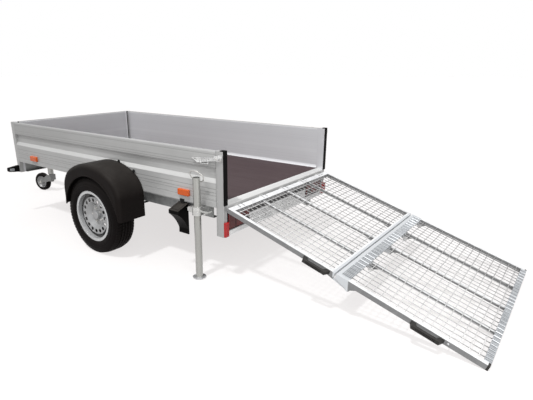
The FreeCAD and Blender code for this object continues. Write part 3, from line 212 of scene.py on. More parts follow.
def zinc_material(name, light, dark, crystal_size, roughness, metallic=0.6, shaded_sides=0.0,
                  shade_black_above=None, teeth=0.0, fold=None):
    """Dipped zinc: patchy tone with frozen crystals, worn bright on its edges.

    Painted shade can darken its sides below its tops and turn it black above a height.
    It can turn grey at a fold, partly as painted light in the gap there, and be striped over teeth
    along Y.
    """
    material, tree, shader, place = start_material(name, Metallic=metallic)
    tone = use_group(tree, cloud, place, Size=9.0, Light=light, Dark=dark)
    crystals = put(tree, "ShaderNodeTexVoronoi", _Scale=crystal_size)
    link(place, crystals.inputs["Vector"])
    facet = put(tree, "ShaderNodeSeparateColor")
    link(crystals.outputs["Color"], facet.inputs[0])
    shade = mixed(tree, facet.outputs[0], (0.86, 0.86, 0.87), (1.08, 1.08, 1.08))
    colour = mixed(tree, 0.75, tone.outputs["Color"], shade, "MULTIPLY")
    # Painted shade: faces that do not face up are darkened by the given share.
    if shaded_sides:
        facing_up = use_group(tree, dust_and_shade, place, Amount=1.0, Patch=3.0)
        side_shade_factor = spread(tree, facing_up.outputs["Mask"], 0.15, 0.50, 1.0 - shaded_sides, 1.0)
        grey = put(tree, "ShaderNodeCombineColor")
        for channel in grey.inputs:
            link(side_shade_factor, channel)
        colour = mixed(tree, 1.0, colour, grey.outputs[0], "MULTIPLY")
    # Painted shade: black above the given height.
    if shade_black_above:
        height = axes_of(tree, place)["Z"]
        colour = mixed(tree, spread(tree, height, *shade_black_above), colour, (0.012, 0.012, 0.012))
    # Grey band at the fold: partly the fold's own blue-grey, partly painted light that lifts the
    # shaded gap between the sections.
    if fold:
        away = away_from(tree, axes_of(tree, place)["X"], fold)
        colour = mixed(tree, spread(tree, away, 0.045, 0.050, 1.0, 0.0), colour, (0.60, 0.62, 0.64))
    if teeth:
        waves = put(tree, "ShaderNodeTexWave", _Scale=teeth, _Distortion=0.0, bands_direction="Y")
        link(place, waves.inputs["Vector"])
        tips = spread(tree, waves.outputs["Fac"], 0.70, 0.95, 0.0, 0.8)
        colour = mixed(tree, tips, colour, (0.72, 0.74, 0.76))
    wear = use_group(tree, edges, place, Width=0.002, Break=60.0)
    bright = tuple(min(1.0, value * 1.3) for value in light)
    colour = mixed(tree, sum_up(tree, "MULTIPLY", wear.outputs["Mask"], 0.6), colour, bright)
    link(colour, shader.inputs["Base Color"])
    link(spread(tree, facet.outputs[1], 0, 1, roughness - 0.06, roughness + 0.1),
         shader.inputs["Roughness"])
    bump(tree, shader, crystals.outputs["Distance"], 0.05, 0.002)
    return material


def dress(material, *names):
    """Give carried-over pieces their finish."""
    for name in names:
        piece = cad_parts[name]
        piece.data.materials.clear()
        piece.data.materials.append(material)


dipped_zinc = zinc_material("dipped_zinc", (0.33, 0.335, 0.33), (0.24, 0.245, 0.245), 42.0, 0.42)
dress(dipped_zinc, "side_members", "cross_members", "axle")


def geometry_tree(name, inputs):
    """New geometry tree with a geometry input, named values and an output."""
    tree = bpy.data.node_groups.new(name, "GeometryNodeTree")
    tree.interface.new_socket("Geometry", in_out="INPUT", socket_type="NodeSocketGeometry")
    for label, kind in inputs:
        tree.interface.new_socket(label, in_out="INPUT", socket_type=kind)
    tree.interface.new_socket("Geometry", in_out="OUTPUT", socket_type="NodeSocketGeometry")
    return tree, tree.nodes.new("NodeGroupInput"), tree.nodes.new("NodeGroupOutput")


def close_tree(tree, given, out, geometry):
    """Every tree ends in realized instances with their material set."""
    real = tree.nodes.new("GeometryNodeRealizeInstances")
    paint = tree.nodes.new("GeometryNodeSetMaterial")
    link(geometry, real.inputs[0])
    link(real.outputs[0], paint.inputs["Geometry"])
    link(given.outputs["Material"], paint.inputs["Material"])
    link(paint.outputs[0], out.inputs[0])


# Hexagon heads on washers: one on each point, standing along its "facing".
bolts, bolts_in, bolts_out = geometry_tree(
    "hexagon_bolts",
    [("Head Radius", "NodeSocketFloat"), ("Head Height", "NodeSocketFloat"),
     ("Washer Radius", "NodeSocketFloat"), ("Washer Height", "NodeSocketFloat"),
     ("Head Sides", "NodeSocketInt"), ("Material", "NodeSocketMaterial")])
facing = put(bolts, "GeometryNodeInputNamedAttribute", data_type="FLOAT_VECTOR", _Name="facing")
turn = put(bolts, "FunctionNodeAlignRotationToVector", axis="Z")
link(facing.outputs["Attribute"], turn.inputs["Vector"])
stack = bolts.nodes.new("GeometryNodeJoinGeometry")
for radius, height, below in (("Head Radius", "Head Height", "Washer Height"),
                              ("Washer Radius", "Washer Height", None)):
    disc = put(bolts, "GeometryNodeMeshCylinder", _Vertices=16)
    if below:
        link(bolts_in.outputs["Head Sides"], disc.inputs["Vertices"])
    link(bolts_in.outputs[radius], disc.inputs["Radius"])
    link(bolts_in.outputs[height], disc.inputs["Depth"])
    lift = sum_up(bolts, "MULTIPLY", bolts_in.outputs[height], 0.5)
    if below:
        lift = sum_up(bolts, "ADD", lift, bolts_in.outputs[below])
    place_up = bolts.nodes.new("ShaderNodeCombineXYZ")
    link(lift, place_up.inputs["Z"])
    shift = bolts.nodes.new("GeometryNodeTransform")
    link(disc.outputs["Mesh"], shift.inputs["Geometry"])
    link(place_up.outputs[0], shift.inputs["Translation"])
    link(shift.outputs[0], stack.inputs[0])
bolt_copies = bolts.nodes.new("GeometryNodeInstanceOnPoints")
link(bolts_in.outputs["Geometry"], bolt_copies.inputs["Points"])
link(stack.outputs[0], bolt_copies.inputs["Instance"])
link(turn.outputs[0], bolt_copies.inputs["Rotation"])
close_tree(bolts, bolts_in, bolts_out, bolt_copies.outputs[0])


def linked(name, data):
    """New object in the scene."""
    made = bpy.data.objects.new(name, data)
    bpy.context.scene.collection.objects.link(made)
    return made


def new_piece(name, mesh, body):
    """Put a mesh in the scene as a piece that rides on a body."""
    piece = linked(name, mesh)
    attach(piece, body)
    return piece


def grown(name, mesh, tree, **values):
    """Run a geometry tree on a mesh and keep what it makes as a plain mesh."""
    holder = linked(name, mesh)
    modifier = holder.modifiers.new(tree.name, "NODES")
    modifier.node_group = tree
    names = {item.name: item.identifier for item in tree.interface.items_tree
             if item.in_out == "INPUT"}
    for key, value in values.items():
        modifier[names[key.replace("_", " ")]] = value
    shown = holder.evaluated_get(bpy.context.evaluated_depsgraph_get())
    made = bpy.data.meshes.new_from_object(shown)
    bpy.data.objects.remove(holder)
    return made


def bolted(name, body, material, places, head, washer, sides=6):
    """Bolt or rivet heads at places given as a point and the way it faces."""
    mesh = bpy.data.meshes.new(name)
    mesh.from_pydata([place for place, _ in places], [], [])
    mesh.attributes.new("facing", "FLOAT_VECTOR", "POINT")
    for item, (_, way) in zip(mesh.attributes["facing"].data, places):
        item.vector = way
    made = grown(name, mesh, bolts, Head_Radius=head[0], Head_Height=head[1],
                 Washer_Radius=washer[0], Washer_Height=washer[1], Head_Sides=sides,
                 Material=material)
    return new_piece(name, made, body)


plated = zinc_material("plated_bolt", (0.62, 0.61, 0.58), (0.46, 0.45, 0.42), 120.0, 0.32)
pad_bolt_x = (0.1406, 0.2066)
pad_bolt_y = 0.604
flange_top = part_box("side_members")[0].z + 0.003
pad_places = [((x, side * pad_bolt_y, flange_top), (0, 0, 1))
              for side in (-1, 1) for x in pad_bolt_x]
bolted("axle_bolts", "chassis", plated, pad_places, (0.011, 0.009), (0.015, 0.002))

# DRAWBAR AND COUPLING
# One square steel tube runs from the axle to the coupling. The coupling head is
# pressed steel under black paint, held by two bolts, with a moulded lever.

dress(dipped_zinc, "drawbar")


def dark_material(name, light, dark, roughness, grain_size, grain_depth, worn=None, dusty=0.0):
    """Black paint, rubber or moulded plastic with a fine grain."""
    material, tree, shader, place = start_material(name, Specular_IOR_Level=0.05)
    tone = use_group(tree, cloud, place, Size=7.0, Light=light, Dark=dark)
    colour = tone.outputs["Color"]
    if dusty:
        lying = use_group(tree, dust_and_shade, place, Amount=dusty, Patch=11.0)
        colour = mixed(tree, lying.outputs["Mask"], colour, (0.12, 0.11, 0.10))
    if worn:
        wear = use_group(tree, edges, place, Width=0.003, Break=55.0)
        colour = mixed(tree, wear.outputs["Mask"], colour, worn)
    link(colour, shader.inputs["Base Color"])
    link(spread(tree, tone.outputs["Fac"], 0, 1, roughness - 0.08, roughness + 0.08),
         shader.inputs["Roughness"])
    bump(tree, shader, noise(tree, place, grain_size, 3.0), 0.25, grain_depth)
    return material


black_paint = dark_material("black_paint", (0.016, 0.016, 0.016), (0.008, 0.008, 0.008), 0.36,
                            180.0, 0.0006, (0.07, 0.07, 0.07), 0.15)
black_mould = dark_material("black_mould", (0.006, 0.0056, 0.0054), (0.0035, 0.0033, 0.0032), 0.46,
                            900.0, 0.0005, (0.05, 0.046, 0.044), 0.25)
dress(black_paint, "coupling", "side_brackets")
dress(black_mould, "coupling_lever", "lamp_housings")
coupling_low, coupling_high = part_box("coupling")
coupling_bolt_z = 0.363
coupling_places = []
for x in (coupling_low.x + 0.035, coupling_low.x + 0.105):
    for side in (-1, 1):
        coupling_places.append(((x, side * coupling_high.y, coupling_bolt_z), (0, side, 0)))
bolted("coupling_bolts", "chassis", plated, coupling_places,
       (0.0095, 0.008), (0.0135, 0.002))

# FLOOR PANEL
# Fifteen millimetre plywood with a dark purple-brown phenolic film, streaked
# along the bed. The film carries a fine raised net against slipping.

ply, ply_tree, ply_shader, ply_place = start_material("film_faced_ply", Roughness=0.55,
                                                      Specular_IOR_Level=0.12)
ply_streak = spread(ply_tree, noise(ply_tree, ply_place, 3.5, 7.0, (0.7, 11.0, 4.0)), 0.28, 0.72)
ply_tone = mixed(ply_tree, ply_streak, (0.037, 0.019, 0.022), (0.056, 0.033, 0.037))
ply_dust = use_group(ply_tree, dust_and_shade, ply_place, Amount=0.05, Patch=5.0)
link(mixed(ply_tree, ply_dust.outputs["Mask"], ply_tone, (0.30, 0.26, 0.25)),
     ply_shader.inputs["Base Color"])
ply_net = put(ply_tree, "ShaderNodeTexVoronoi", _Scale=260.0, feature="DISTANCE_TO_EDGE")
link(ply_place, ply_net.inputs["Vector"])
bump(ply_tree, ply_shader, ply_net.outputs["Distance"], 0.25, 0.001)
dress(ply, "floor_panel")

# WALL BOARDS, CORNER POSTS AND REAR SILL
# Extruded aluminium with a satin anodised skin. The die leaves hair-fine lines
# along each board, and the boards are riveted to the corner posts.

groove_and_shade_grey = (0.16, 0.16, 0.155)
bead_height = 0.676


def board_material(name, light, dark, along, roughness, metallic=0.22, grooves=(), inner=None):
    """Satin anodised extrusion with hair lines along one axis.

    Grooves are dark lines at given heights and half widths; with them, painted shade
    darkens the outer side toward the front, it is darker above 0.75 m, and a painted highlight lies
    on the bevel.
    Painted light makes what lies within a given distance along an axis lighter and bluer, such as a
    wall's inner side.
    """
    material, tree, shader, place = start_material(name, Metallic=metallic)
    lines = noise(tree, place, 60.0, 4.0, along)
    tone = use_group(tree, cloud, place, Size=2.2, Light=light, Dark=dark)
    streak = mixed(tree, spread(tree, lines, 0.35, 0.65), (0.94, 0.94, 0.94), (1.04, 1.04, 1.04))
    colour = mixed(tree, 1.0, tone.outputs["Color"], streak, "MULTIPLY")
    axes = axes_of(tree, place)
    for height, width in grooves:
        groove = spread(tree, away_from(tree, axes["Z"], height), width, width + 0.0012, 0.70, 0.0)
        colour = mixed(tree, groove, colour, groove_and_shade_grey)
    if grooves:
        # Painted shade: the outer side darkens toward the front.
        colour = mixed(tree, spread(tree, axes["X"], 0.0, 1.45, 0.0, 0.30), colour, groove_and_shade_grey)
        # Painted highlight: a lighter band along the bevel.
        bevel_highlight = spread(tree, away_from(tree, axes["Z"], bead_height), 0.0130, 0.0145, 0.5, 0.0)
        colour = mixed(tree, bevel_highlight, colour, (0.70, 0.70, 0.69))
        upper = spread(tree, axes["Z"], 0.735, 0.750, 0.0, 0.30)
        colour = mixed(tree, upper, colour, (0.26, 0.26, 0.255))
    # Painted light: what lies within the given distance along the axis is lighter and bluer.
    if inner:
        axis, near, far = inner
        painted_light = spread(tree, sum_up(tree, "ABSOLUTE", axes[axis], 0), near, far, 0.80, 0.0)
        colour = mixed(tree, painted_light, colour, (0.72, 0.72, 0.745))
    wear = use_group(tree, edges, place, Width=0.0025, Break=30.0)
    bright = tuple(min(1.0, value * 1.25) for value in light)
    link(mixed(tree, wear.outputs["Mask"], colour, bright), shader.inputs["Base Color"])
    link(spread(tree, lines, 0, 1, roughness - 0.07, roughness + 0.07), shader.inputs["Roughness"])
    bump(tree, shader, lines, 0.08, 0.0006)
    return material


board_light = (0.53, 0.53, 0.525)
board_dark = (0.46, 0.46, 0.455)
board_grooves = ((0.846, 0.0008), (0.794, 0.0008), (0.776, 0.0010), (0.764, 0.0014),
                 (0.624, 0.0010), (0.598, 0.0008), (0.580, 0.0008), (0.546, 0.0008))
long_board = board_material("long_board", board_light, board_dark, (0.02, 1.0, 1.0), 0.36,
                            grooves=board_grooves, inner=("Y", 0.6560, 0.6575))
cross_board = board_material("cross_board", board_light, board_dark, (1.0, 0.02, 1.0), 0.36,
                             grooves=board_grooves, inner=("X", 1.4580, 1.4595))
upright_board = board_material("upright_board", (0.43, 0.43, 0.426), (0.38, 0.38, 0.376),
                               (1.0, 1.0, 0.02), 0.36, inner=("Y", 0.6500, 0.6515))
dress(long_board, "wall_left", "wall_right")
dress(cross_board, "wall_front")
dress(upright_board, "front_posts", "rear_posts")
sill_metal = board_material("sill_metal", (0.72, 0.72, 0.71), (0.64, 0.64, 0.635),
                            (1.0, 0.02, 1.0), 0.34)
dress(sill_metal, "rear_sill")
rivet_heights = (0.545, 0.625, 0.80)
front_rivet_x = 1.4456
front_face_x = 1.4836
front_rivet_y = 0.655
wall_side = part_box("wall_left")[1].y
post_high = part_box("rear_posts")[1]
rivet_places = []
for side in (-1, 1):
    for z in rivet_heights:
        rivet_places.append(((post_high.x - 0.012, side * post_high.y, z), (0, side, 0)))
        rivet_places.append(((front_rivet_x, side * wall_side, z), (0, side, 0)))
        rivet_places.append(((front_face_x, side * front_rivet_y, z), (1, 0, 0)))
rivet_grey = board_material("rivet_grey", (0.46, 0.46, 0.455), (0.38, 0.38, 0.375),
                            (1.0, 1.0, 1.0), 0.42)
bolted("post_rivets", "chassis", rivet_grey, rivet_places,
       (0.0035, 0.0012), (0.0055, 0.0008), 12)

# LIGHT BAR
# Folded channel between the feet of the rear posts, bright along its foot, with
# a panel that closes it up to the floor; painted shade turns it black above 0.41 m, behind the
# lamps.

# The panel is black above 0.41 m as painted shade under the sill.
bar_zinc = zinc_material("bar_zinc", (0.95, 0.95, 0.94), (0.93, 0.93, 0.925), 6.0, 0.5, 0.05,
                         shade_black_above=(0.404, 0.410))
dress(bar_zinc, "light_bar")

# POST SEALS, FRONT LAMP ARMS AND CORNER STRIPS
# Soft black rubber. The seals run down the rear faces of the posts and lap over
# their tops; the arms are hollow mouldings that give way when something brushes
# them. Grey strips with black caps close the two front corners of the bed.

soft_rubber = dark_material("soft_rubber", (0.005, 0.005, 0.005), (0.003, 0.003, 0.003), 0.62,
                            400.0, 0.0008)
dress(soft_rubber, "post_seals", "front_lamp_arms")
strip_grey = dark_material("strip_grey", (0.12, 0.12, 0.12), (0.08, 0.08, 0.08), 0.5, 300.0, 0.0004)


def as_mesh(name, shape):
    """Mesh with the shape's faces, which frees the shape."""
    mesh = bpy.data.meshes.new(name)
    shape.to_mesh(mesh)
    shape.free()
    return mesh


def boxes(name, body, material, spans, soften):
    """Bevelled bars and plates, each given by two corners, as one mesh."""
    shape = bmesh.new()
    for low, high in spans:
        middle = [(a + b) / 2 for a, b in zip(low, high)]
        size = [abs(b - a) for a, b in zip(low, high)]
        bmesh.ops.create_cube(shape, size=1.0,
                              matrix=Matrix.Translation(middle) @ Matrix.Diagonal((*size, 1.0)))
    bmesh.ops.bevel(shape, geom=shape.edges[:], offset=soften, segments=2, affect="EDGES")
    mesh = as_mesh(name, shape)
    mesh.materials.append(material)
    return new_piece(name, mesh, body)


strip_x, strip_y = (1.4235, 1.4330), (0.6300, 0.6395)
cap_x, cap_y = (1.4225, 1.4330), (0.6290, 0.6395)
for hand, side in (("left", 1), ("right", -1)):
    for part, bars, material in (
            ("strip", [(strip_x, strip_y, (0.556, 0.842))], strip_grey),
            ("strip_caps", [(strip_x, strip_y, (0.842, 0.872)), (cap_x, cap_y, (0.5355, 0.556))],
             soft_rubber)):
        spans = [((x[0], side * y[0], z[0]), (x[1], side * y[1], z[1])) for x, y, z in bars]
        boxes("corner_" + part + "_" + hand, "chassis", material, spans, 0.0012)

# LAMPS
# Clear acrylic dyed right through, moulded with fine ribs behind a glossy face,
# with the lamp's fields parted by black bridges.


def lens_material(name, deep, bright, rib_scale, shade_beyond=None):
    """Dyed acrylic lens: ribs seen through a polished face, darkened with painted shade beyond a
    plane.
    """
    material, tree, shader, place = start_material(
        name, Roughness=0.22, Specular_IOR_Level=0.2, Coat_Weight=0.25, Coat_Roughness=0.08)
    waves = put(tree, "ShaderNodeTexWave", _Scale=rib_scale, _Distortion=0.0, bands_direction="Z")
    link(place, waves.inputs["Vector"])
    tone = mixed(tree, spread(tree, waves.outputs["Fac"], 0.1, 0.9), deep, bright)
    if shade_beyond:
        ahead = spread(tree, axes_of(tree, place)["X"], *shade_beyond)
        tone = mixed(tree, ahead, tone, tuple(value * 0.4 for value in deep))
    link(tone, shader.inputs["Base Color"])
    bump(tree, shader, waves.outputs["Fac"], 0.3, 0.002)
    return material


# Painted shade darkens the cluster lenses under the bed, beyond x = -1.075; the tail lamps at the
# posts' feet keep their red.
red_acrylic = lens_material("red_acrylic", (0.32, 0.010, 0.011), (0.52, 0.018, 0.019), 55.0,
                            (-1.0762, -1.0750))
amber_acrylic = lens_material("amber_acrylic", (0.55, 0.070, 0.002), (0.74, 0.120, 0.004), 60.0)
# The turn and reverse fields are dark with painted shade.
turn_acrylic = lens_material("turn_acrylic", (0.075, 0.007, 0.006), (0.12, 0.010, 0.009), 60.0)
reverse_acrylic = lens_material("reverse_acrylic", (0.05, 0.045, 0.045), (0.09, 0.085, 0.085), 70.0)
clear_acrylic = lens_material("clear_acrylic", (0.25, 0.26, 0.27), (0.50, 0.52, 0.54), 70.0)
dress(red_acrylic, "red_lenses")
dress(amber_acrylic, "side_lamps")
dress(clear_acrylic, "front_lamp_lenses")

# Bridges across each lamp cluster, with a turn field outboard and a reverse
# field inboard, both dark with painted shade.
cluster_face = -1.0724
for name, slot, material, proud, deep, soften, bars in (
        ("lamp_bridges", "black_plastic", black_mould, 0.0012, 0.004, 0.0006,
         [(0.459, 0.465, 0.350, 0.458), (0.548, 0.554, 0.350, 0.458)]),
        ("turn_fields", "amber_lens", turn_acrylic, 0.0008, 0.003, 0.0004,
         [(0.5555, 0.6185, 0.354, 0.454)]),
        ("reverse_fields", "clear_lens", reverse_acrylic, 0.0008, 0.003, 0.0004,
         [(0.4025, 0.4575, 0.354, 0.402)])):
    spans = [((cluster_face - proud, side * near, low), (cluster_face + deep, side * far, high))
             for side in (-1, 1) for near, far, low, high in bars]
    boxes(name, "chassis", material, spans, soften)

# MUDGUARDS, WHEEL CHOCKS AND THEIR BOLTS
# Black polypropylene with a leathery moulded grain, dusty where light falls on
# the crown. Two bolts show on each guard, and a ridge runs round each chock's top.

guard_mould = dark_material("guard_mould", (0.0105, 0.0084, 0.0078), (0.0072, 0.0058, 0.0054), 0.5,
                            420.0, 0.0010, (0.028, 0.024, 0.022), 0.20)
dress(guard_mould, "mudguard_left", "mudguard_right")
chock_mould = dark_material("chock_mould", (0.0018, 0.0016, 0.0015), (0.001, 0.001, 0.001), 0.5,
                            300.0, 0.0008, (0.03, 0.027, 0.025), 0.50)
dress(chock_mould, "wheel_chocks")
chock_tilt = math.radians(-18.8)
chock_top = Matrix.Translation((-0.7134, 0.7220, 0.4670)) @ Matrix.Rotation(chock_tilt, 4, "X")
ridge_half = 0.0022
ridge_foot = -0.001
ridge_spans = []
for x in (-0.031, 0.031):
    ridge_spans.append(((x - ridge_half, -0.036, ridge_foot), (x + ridge_half, 0.036, ridge_half)))
for y in (-0.036, 0.036):
    ridge_spans.append(((-0.033, y - ridge_half, ridge_foot), (0.033, y + ridge_half, ridge_half)))
for hand in ("left", "right"):
    ridge = boxes("chock_ridge_" + hand, "chassis", chock_mould, ridge_spans,
                  0.0006)
    ridge.data.transform(chock_top)
    if hand == "right":
        ridge.data.transform(Matrix.Diagonal((1.0, -1.0, 1.0, 1.0)))
        ridge.data.flip_normals()
flange_y = 0.6905
guard_places = []
for side in (-1, 1):
    for x, z in ((-0.0794, 0.692), (-0.2414, 0.640)):
        guard_places.append(((x, side * flange_y, z), (0, side, 0)))
bolted("guard_bolts", "chassis", black_paint, guard_places,
       (0.008, 0.007), (0.0125, 0.0025))

# TYRES
# Radial tyres: a carcass with four grooves round the tread, and shoulder and
# centre blocks parted by slanted cuts. Two rings are moulded on the sidewall.

tyre_rubber = dark_material("tyre_rubber", (0.0065, 0.0048, 0.0046), (0.0036, 0.0029, 0.0028), 0.58,
                            300.0, 0.0008, None, 0.12)
wheel_x, wheel_y, wheel_z = 0.02364, 0.8195, 0.295
tread_radius = 0.295
groove_depth = 0.007
floor_radius = tread_radius - groove_depth
tread_pitches = 72
carcass_segments = 96

# Repeats what it is given round the Y axis.
ring, ring_in, ring_out = geometry_tree(
    "repeat_round_axle", [("Count", "NodeSocketInt"), ("Material", "NodeSocketMaterial")])
ring_points = put(ring, "GeometryNodeMeshLine", mode="OFFSET", count_mode="TOTAL")
ring_points.inputs["Offset"].default_value = (0, 0, 0)
link(ring_in.outputs["Count"], ring_points.inputs["Count"])
ring_index = ring.nodes.new("GeometryNodeInputIndex")
ring_step = sum_up(ring, "DIVIDE", 2 * math.pi, ring_in.outputs["Count"])
ring_angle = sum_up(ring, "MULTIPLY", ring_index.outputs[0], ring_step)
ring_turn = put(ring, "FunctionNodeAxisAngleToRotation", _Axis=(0, 1, 0))
link(ring_angle, ring_turn.inputs["Angle"])
ring_copies = ring.nodes.new("GeometryNodeInstanceOnPoints")
link(ring_points.outputs[0], ring_copies.inputs["Points"])
link(ring_in.outputs["Geometry"], ring_copies.inputs["Instance"])
link(ring_turn.outputs[0], ring_copies.inputs["Rotation"])
close_tree(ring, ring_in, ring_out, ring_copies.outputs[0])


def revolved(name, profile, segments, material, centre):
    """Closed profile of (y, radius) turned round an axle along Y."""
    shape = bmesh.new()
    loops = []
    for index in range(segments):
        angle = 2 * math.pi * index / segments
        loops.append([shape.verts.new((radius * math.sin(angle), y, radius * math.cos(angle)))
                      for y, radius in profile])
    count = len(profile)
    for index in range(segments):
        one, two = loops[index], loops[(index + 1) % segments]
        for step in range(count):
            following = (step + 1) % count
            shape.faces.new((one[step], one[following], two[following], two[step]))
    bmesh.ops.recalc_face_normals(shape, faces=shape.faces[:])
    bmesh.ops.translate(shape, vec=centre, verts=shape.verts[:])
    for face in shape.faces:
        face.smooth = True
    mesh = as_mesh(name, shape)
    mesh.materials.append(material)
    mesh.set_sharp_from_angle(angle=math.radians(32))
    return mesh


# Half of the carcass from bead to shoulder, and the blocks' edges across the tread.
outline = [(-0.0762, 0.1790), (-0.0762, 0.1953), (-0.0835, 0.1957), (-0.0860, 0.2010),
           (-0.0905, 0.2100), (-0.0922, 0.2260), (-0.0925, 0.2325), (-0.0922, 0.2370),
           (-0.0905, 0.2400), (-0.0908, 0.2425), (-0.0892, 0.2550), (-0.0850, 0.2680),
           (-0.0795, 0.2780), (-0.0745, 0.2835), (-0.0690, 0.2862)]
tread_line = [(-0.0660, floor_radius), (0.0660, floor_radius)]
profile = outline + tread_line + [(-y, radius) for y, radius in reversed(outline)]
block_edges = (0.0780, 0.0447, 0.0363, 0.0177, 0.0093)


def tread_pitch():
    """One pitch of the tread: two shoulder blocks and three rib blocks."""
    shape = bmesh.new()
    pitch = 2 * math.pi / tread_pitches
    edges_at = [-y for y in block_edges] + list(reversed(block_edges))
    bands = ((0.20, 0.16, 0.0), (0.13, 0.10, 0.45), (0.13, -0.10, 0.2), (0.13, 0.10, 0.7),
             (0.20, -0.16, 0.5))
    for low, high, (gap, slant, phase) in zip(edges_at[::2], edges_at[1::2], bands):
        corners = []
        for lift in (0, 1):
            for y, way in ((low, -1), (high, 1)):
                drop = 0.0085 if abs(y) > 0.07 else 0.0006 if abs(y) > 0.04 else 0.0
                radius = tread_radius - drop if lift else floor_radius - 0.002 - drop * 0.6
                for share in (gap / 2, 1 - gap / 2):
                    angle = pitch * (share + phase + slant * way / 2)
                    corners.append(shape.verts.new((radius * math.sin(angle), y,
                                                    radius * math.cos(angle))))
        for face in ((0, 1, 3, 2), (4, 6, 7, 5), (0, 4, 5, 1), (2, 3, 7, 6), (0, 2, 6, 4),
                     (1, 5, 7, 3)):
            shape.faces.new([corners[index] for index in face])
    bmesh.ops.recalc_face_normals(shape, faces=shape.faces[:])
    return as_mesh("tread_pitch", shape)


for hand, side in (("left", 1), ("right", -1)):
    body = hand + "_wheel"
    centre = Vector((wheel_x, side * wheel_y, wheel_z))
    carcass = revolved("tyre_carcass_" + hand, profile, carcass_segments, tyre_rubber, centre)
    piece = new_piece("tyre_carcass_" + hand, carcass, body)
    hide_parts("tyre_" + hand)
    tread = grown("tread_" + hand, tread_pitch(), ring, Count=tread_pitches, Material=tyre_rubber)
    tread.transform(Matrix.Translation(centre))
    new_piece("tread_blocks_" + hand, tread, body)
dress(tyre_rubber, "tyre_left", "tyre_right", "jockey_tyre")

# RIMS AND HUBS
# Pressed steel discs in silver paint, with sixteen round vents; painted shade blacks the vents
# and the inside. Five bolts hold each to its hub, under a pressed grease cap.

vent_count = 16
vent_circle = 0.1215
vent_edge = (0.0136, 0.0148)
barrel_edge = (0.1400, 0.1450)


def length_of(tree, first, second):
    """Square root of the sum of two squares."""
    squares = [sum_up(tree, "MULTIPLY", part, part) for part in (first, second)]
    return sum_up(tree, "SQRT", sum_up(tree, "ADD", *squares), 0)


def rim_material():
    """Silver paint, grimy on the face, with painted light on the barrel and painted shade in the
    vents and inside.
    """
    material, tree, shader, place = start_material("rim_paint", Metallic=0.35, Roughness=0.3,
                                                   Coat_Weight=0.25)
    tone = use_group(tree, cloud, place, Size=14.0, Light=(0.36, 0.365, 0.37),
                     Dark=(0.29, 0.295, 0.30))
    axes = axes_of(tree, place)
    across = sum_up(tree, "SUBTRACT", axes["X"], wheel_x)
    above = sum_up(tree, "SUBTRACT", axes["Z"], wheel_z)
    radius = length_of(tree, across, above)
    face = sum_up(tree, "MINIMUM", spread(tree, radius, 0.074, 0.104, 0.8460, 0.8765),
                  spread(tree, radius, 0.1345, 0.1375, 0.8765, 0.8660))
    behind = sum_up(tree, "SUBTRACT", face, sum_up(tree, "ABSOLUTE", axes["Y"], 0))
    turned = sum_up(tree, "ADD", sum_up(tree, "ARCTAN2", above, across), 4 * math.pi)
    along = sum_up(tree, "MULTIPLY", sum_up(tree, "PINGPONG", turned, math.pi / vent_count), radius)
    vent = length_of(tree, along, sum_up(tree, "SUBTRACT", radius, vent_circle))
    # Painted shade: black behind the disc's face and in a ring round each vent.
    black = sum_up(tree, "MAXIMUM", spread(tree, behind, 0.0, 0.0015),
                   spread(tree, vent, *vent_edge, 1.0, 0.0))
    grime = spread(tree, noise(tree, place, 30.0, 6.0), 0.35, 0.75, 0.0, 0.35)
    grime = sum_up(tree, "MULTIPLY", spread(tree, radius, 0.150, 0.138), grime)
    colour = mixed(tree, grime, tone.outputs["Color"], (0.30, 0.29, 0.28))
    # Painted light: the barrel, beyond 140 to 145 mm, is lighter.
    colour = mixed(tree, spread(tree, radius, *barrel_edge), colour, (0.54, 0.545, 0.55))
    link(mixed(tree, black, colour, (0.012, 0.011, 0.011)), shader.inputs["Base Color"])
    bump(tree, shader, noise(tree, place, 500.0, 2.0), 0.05, 0.0004)
    return material


dress(rim_material(), "rim_left", "rim_right")
bolt_count = 5
bolt_circle = 0.0525
bolt_face = 0.8475
bolt_phase = 0.3
for hand, side in (("left", 1), ("right", -1)):
    bolt_places = []
    for index in range(bolt_count):
        angle = 2 * math.pi * index / bolt_count + bolt_phase
        bolt_places.append(((wheel_x + bolt_circle * math.sin(angle), side * bolt_face,
                             wheel_z + bolt_circle * math.cos(angle)), (0, side, 0)))
    bolted("wheel_bolts_" + hand, hand + "_wheel", plated, bolt_places,
           (0.0070, 0.009), (0.0085, 0.003))


def arc_strip(radii, y, half_angle, thickness):
    """Thin curved strip between two radii: a dark sheet of painted shade for the gap at the disc's
    edge.
    """
    shape = bmesh.new()
    steps = 12
    rows = []
    for step in range(steps + 1):
        share = step / steps
        angle = half_angle * (2 * share - 1)
        pinch = math.sin(math.pi * share) ** 0.5
        middle = (radii[0] + radii[1]) / 2
        half = (radii[1] - radii[0]) / 2 * max(pinch, 0.05)
        rows.append([shape.verts.new((radius * math.sin(angle), depth, radius * math.cos(angle)))
                     for radius in (middle - half, middle + half)
                     for depth in (y, y - math.copysign(thickness, y))])
    for one, two in zip(rows, rows[1:]):
        for a, b in ((0, 1), (1, 3), (3, 2), (2, 0)):
            shape.faces.new((one[a], one[b], two[b], two[a]))
    for end in (rows[0], rows[-1]):
        shape.faces.new((end[0], end[1], end[3], end[2]))
    bmesh.ops.recalc_face_normals(shape, faces=shape.faces[:])
    return as_mesh("arc_strip", shape)


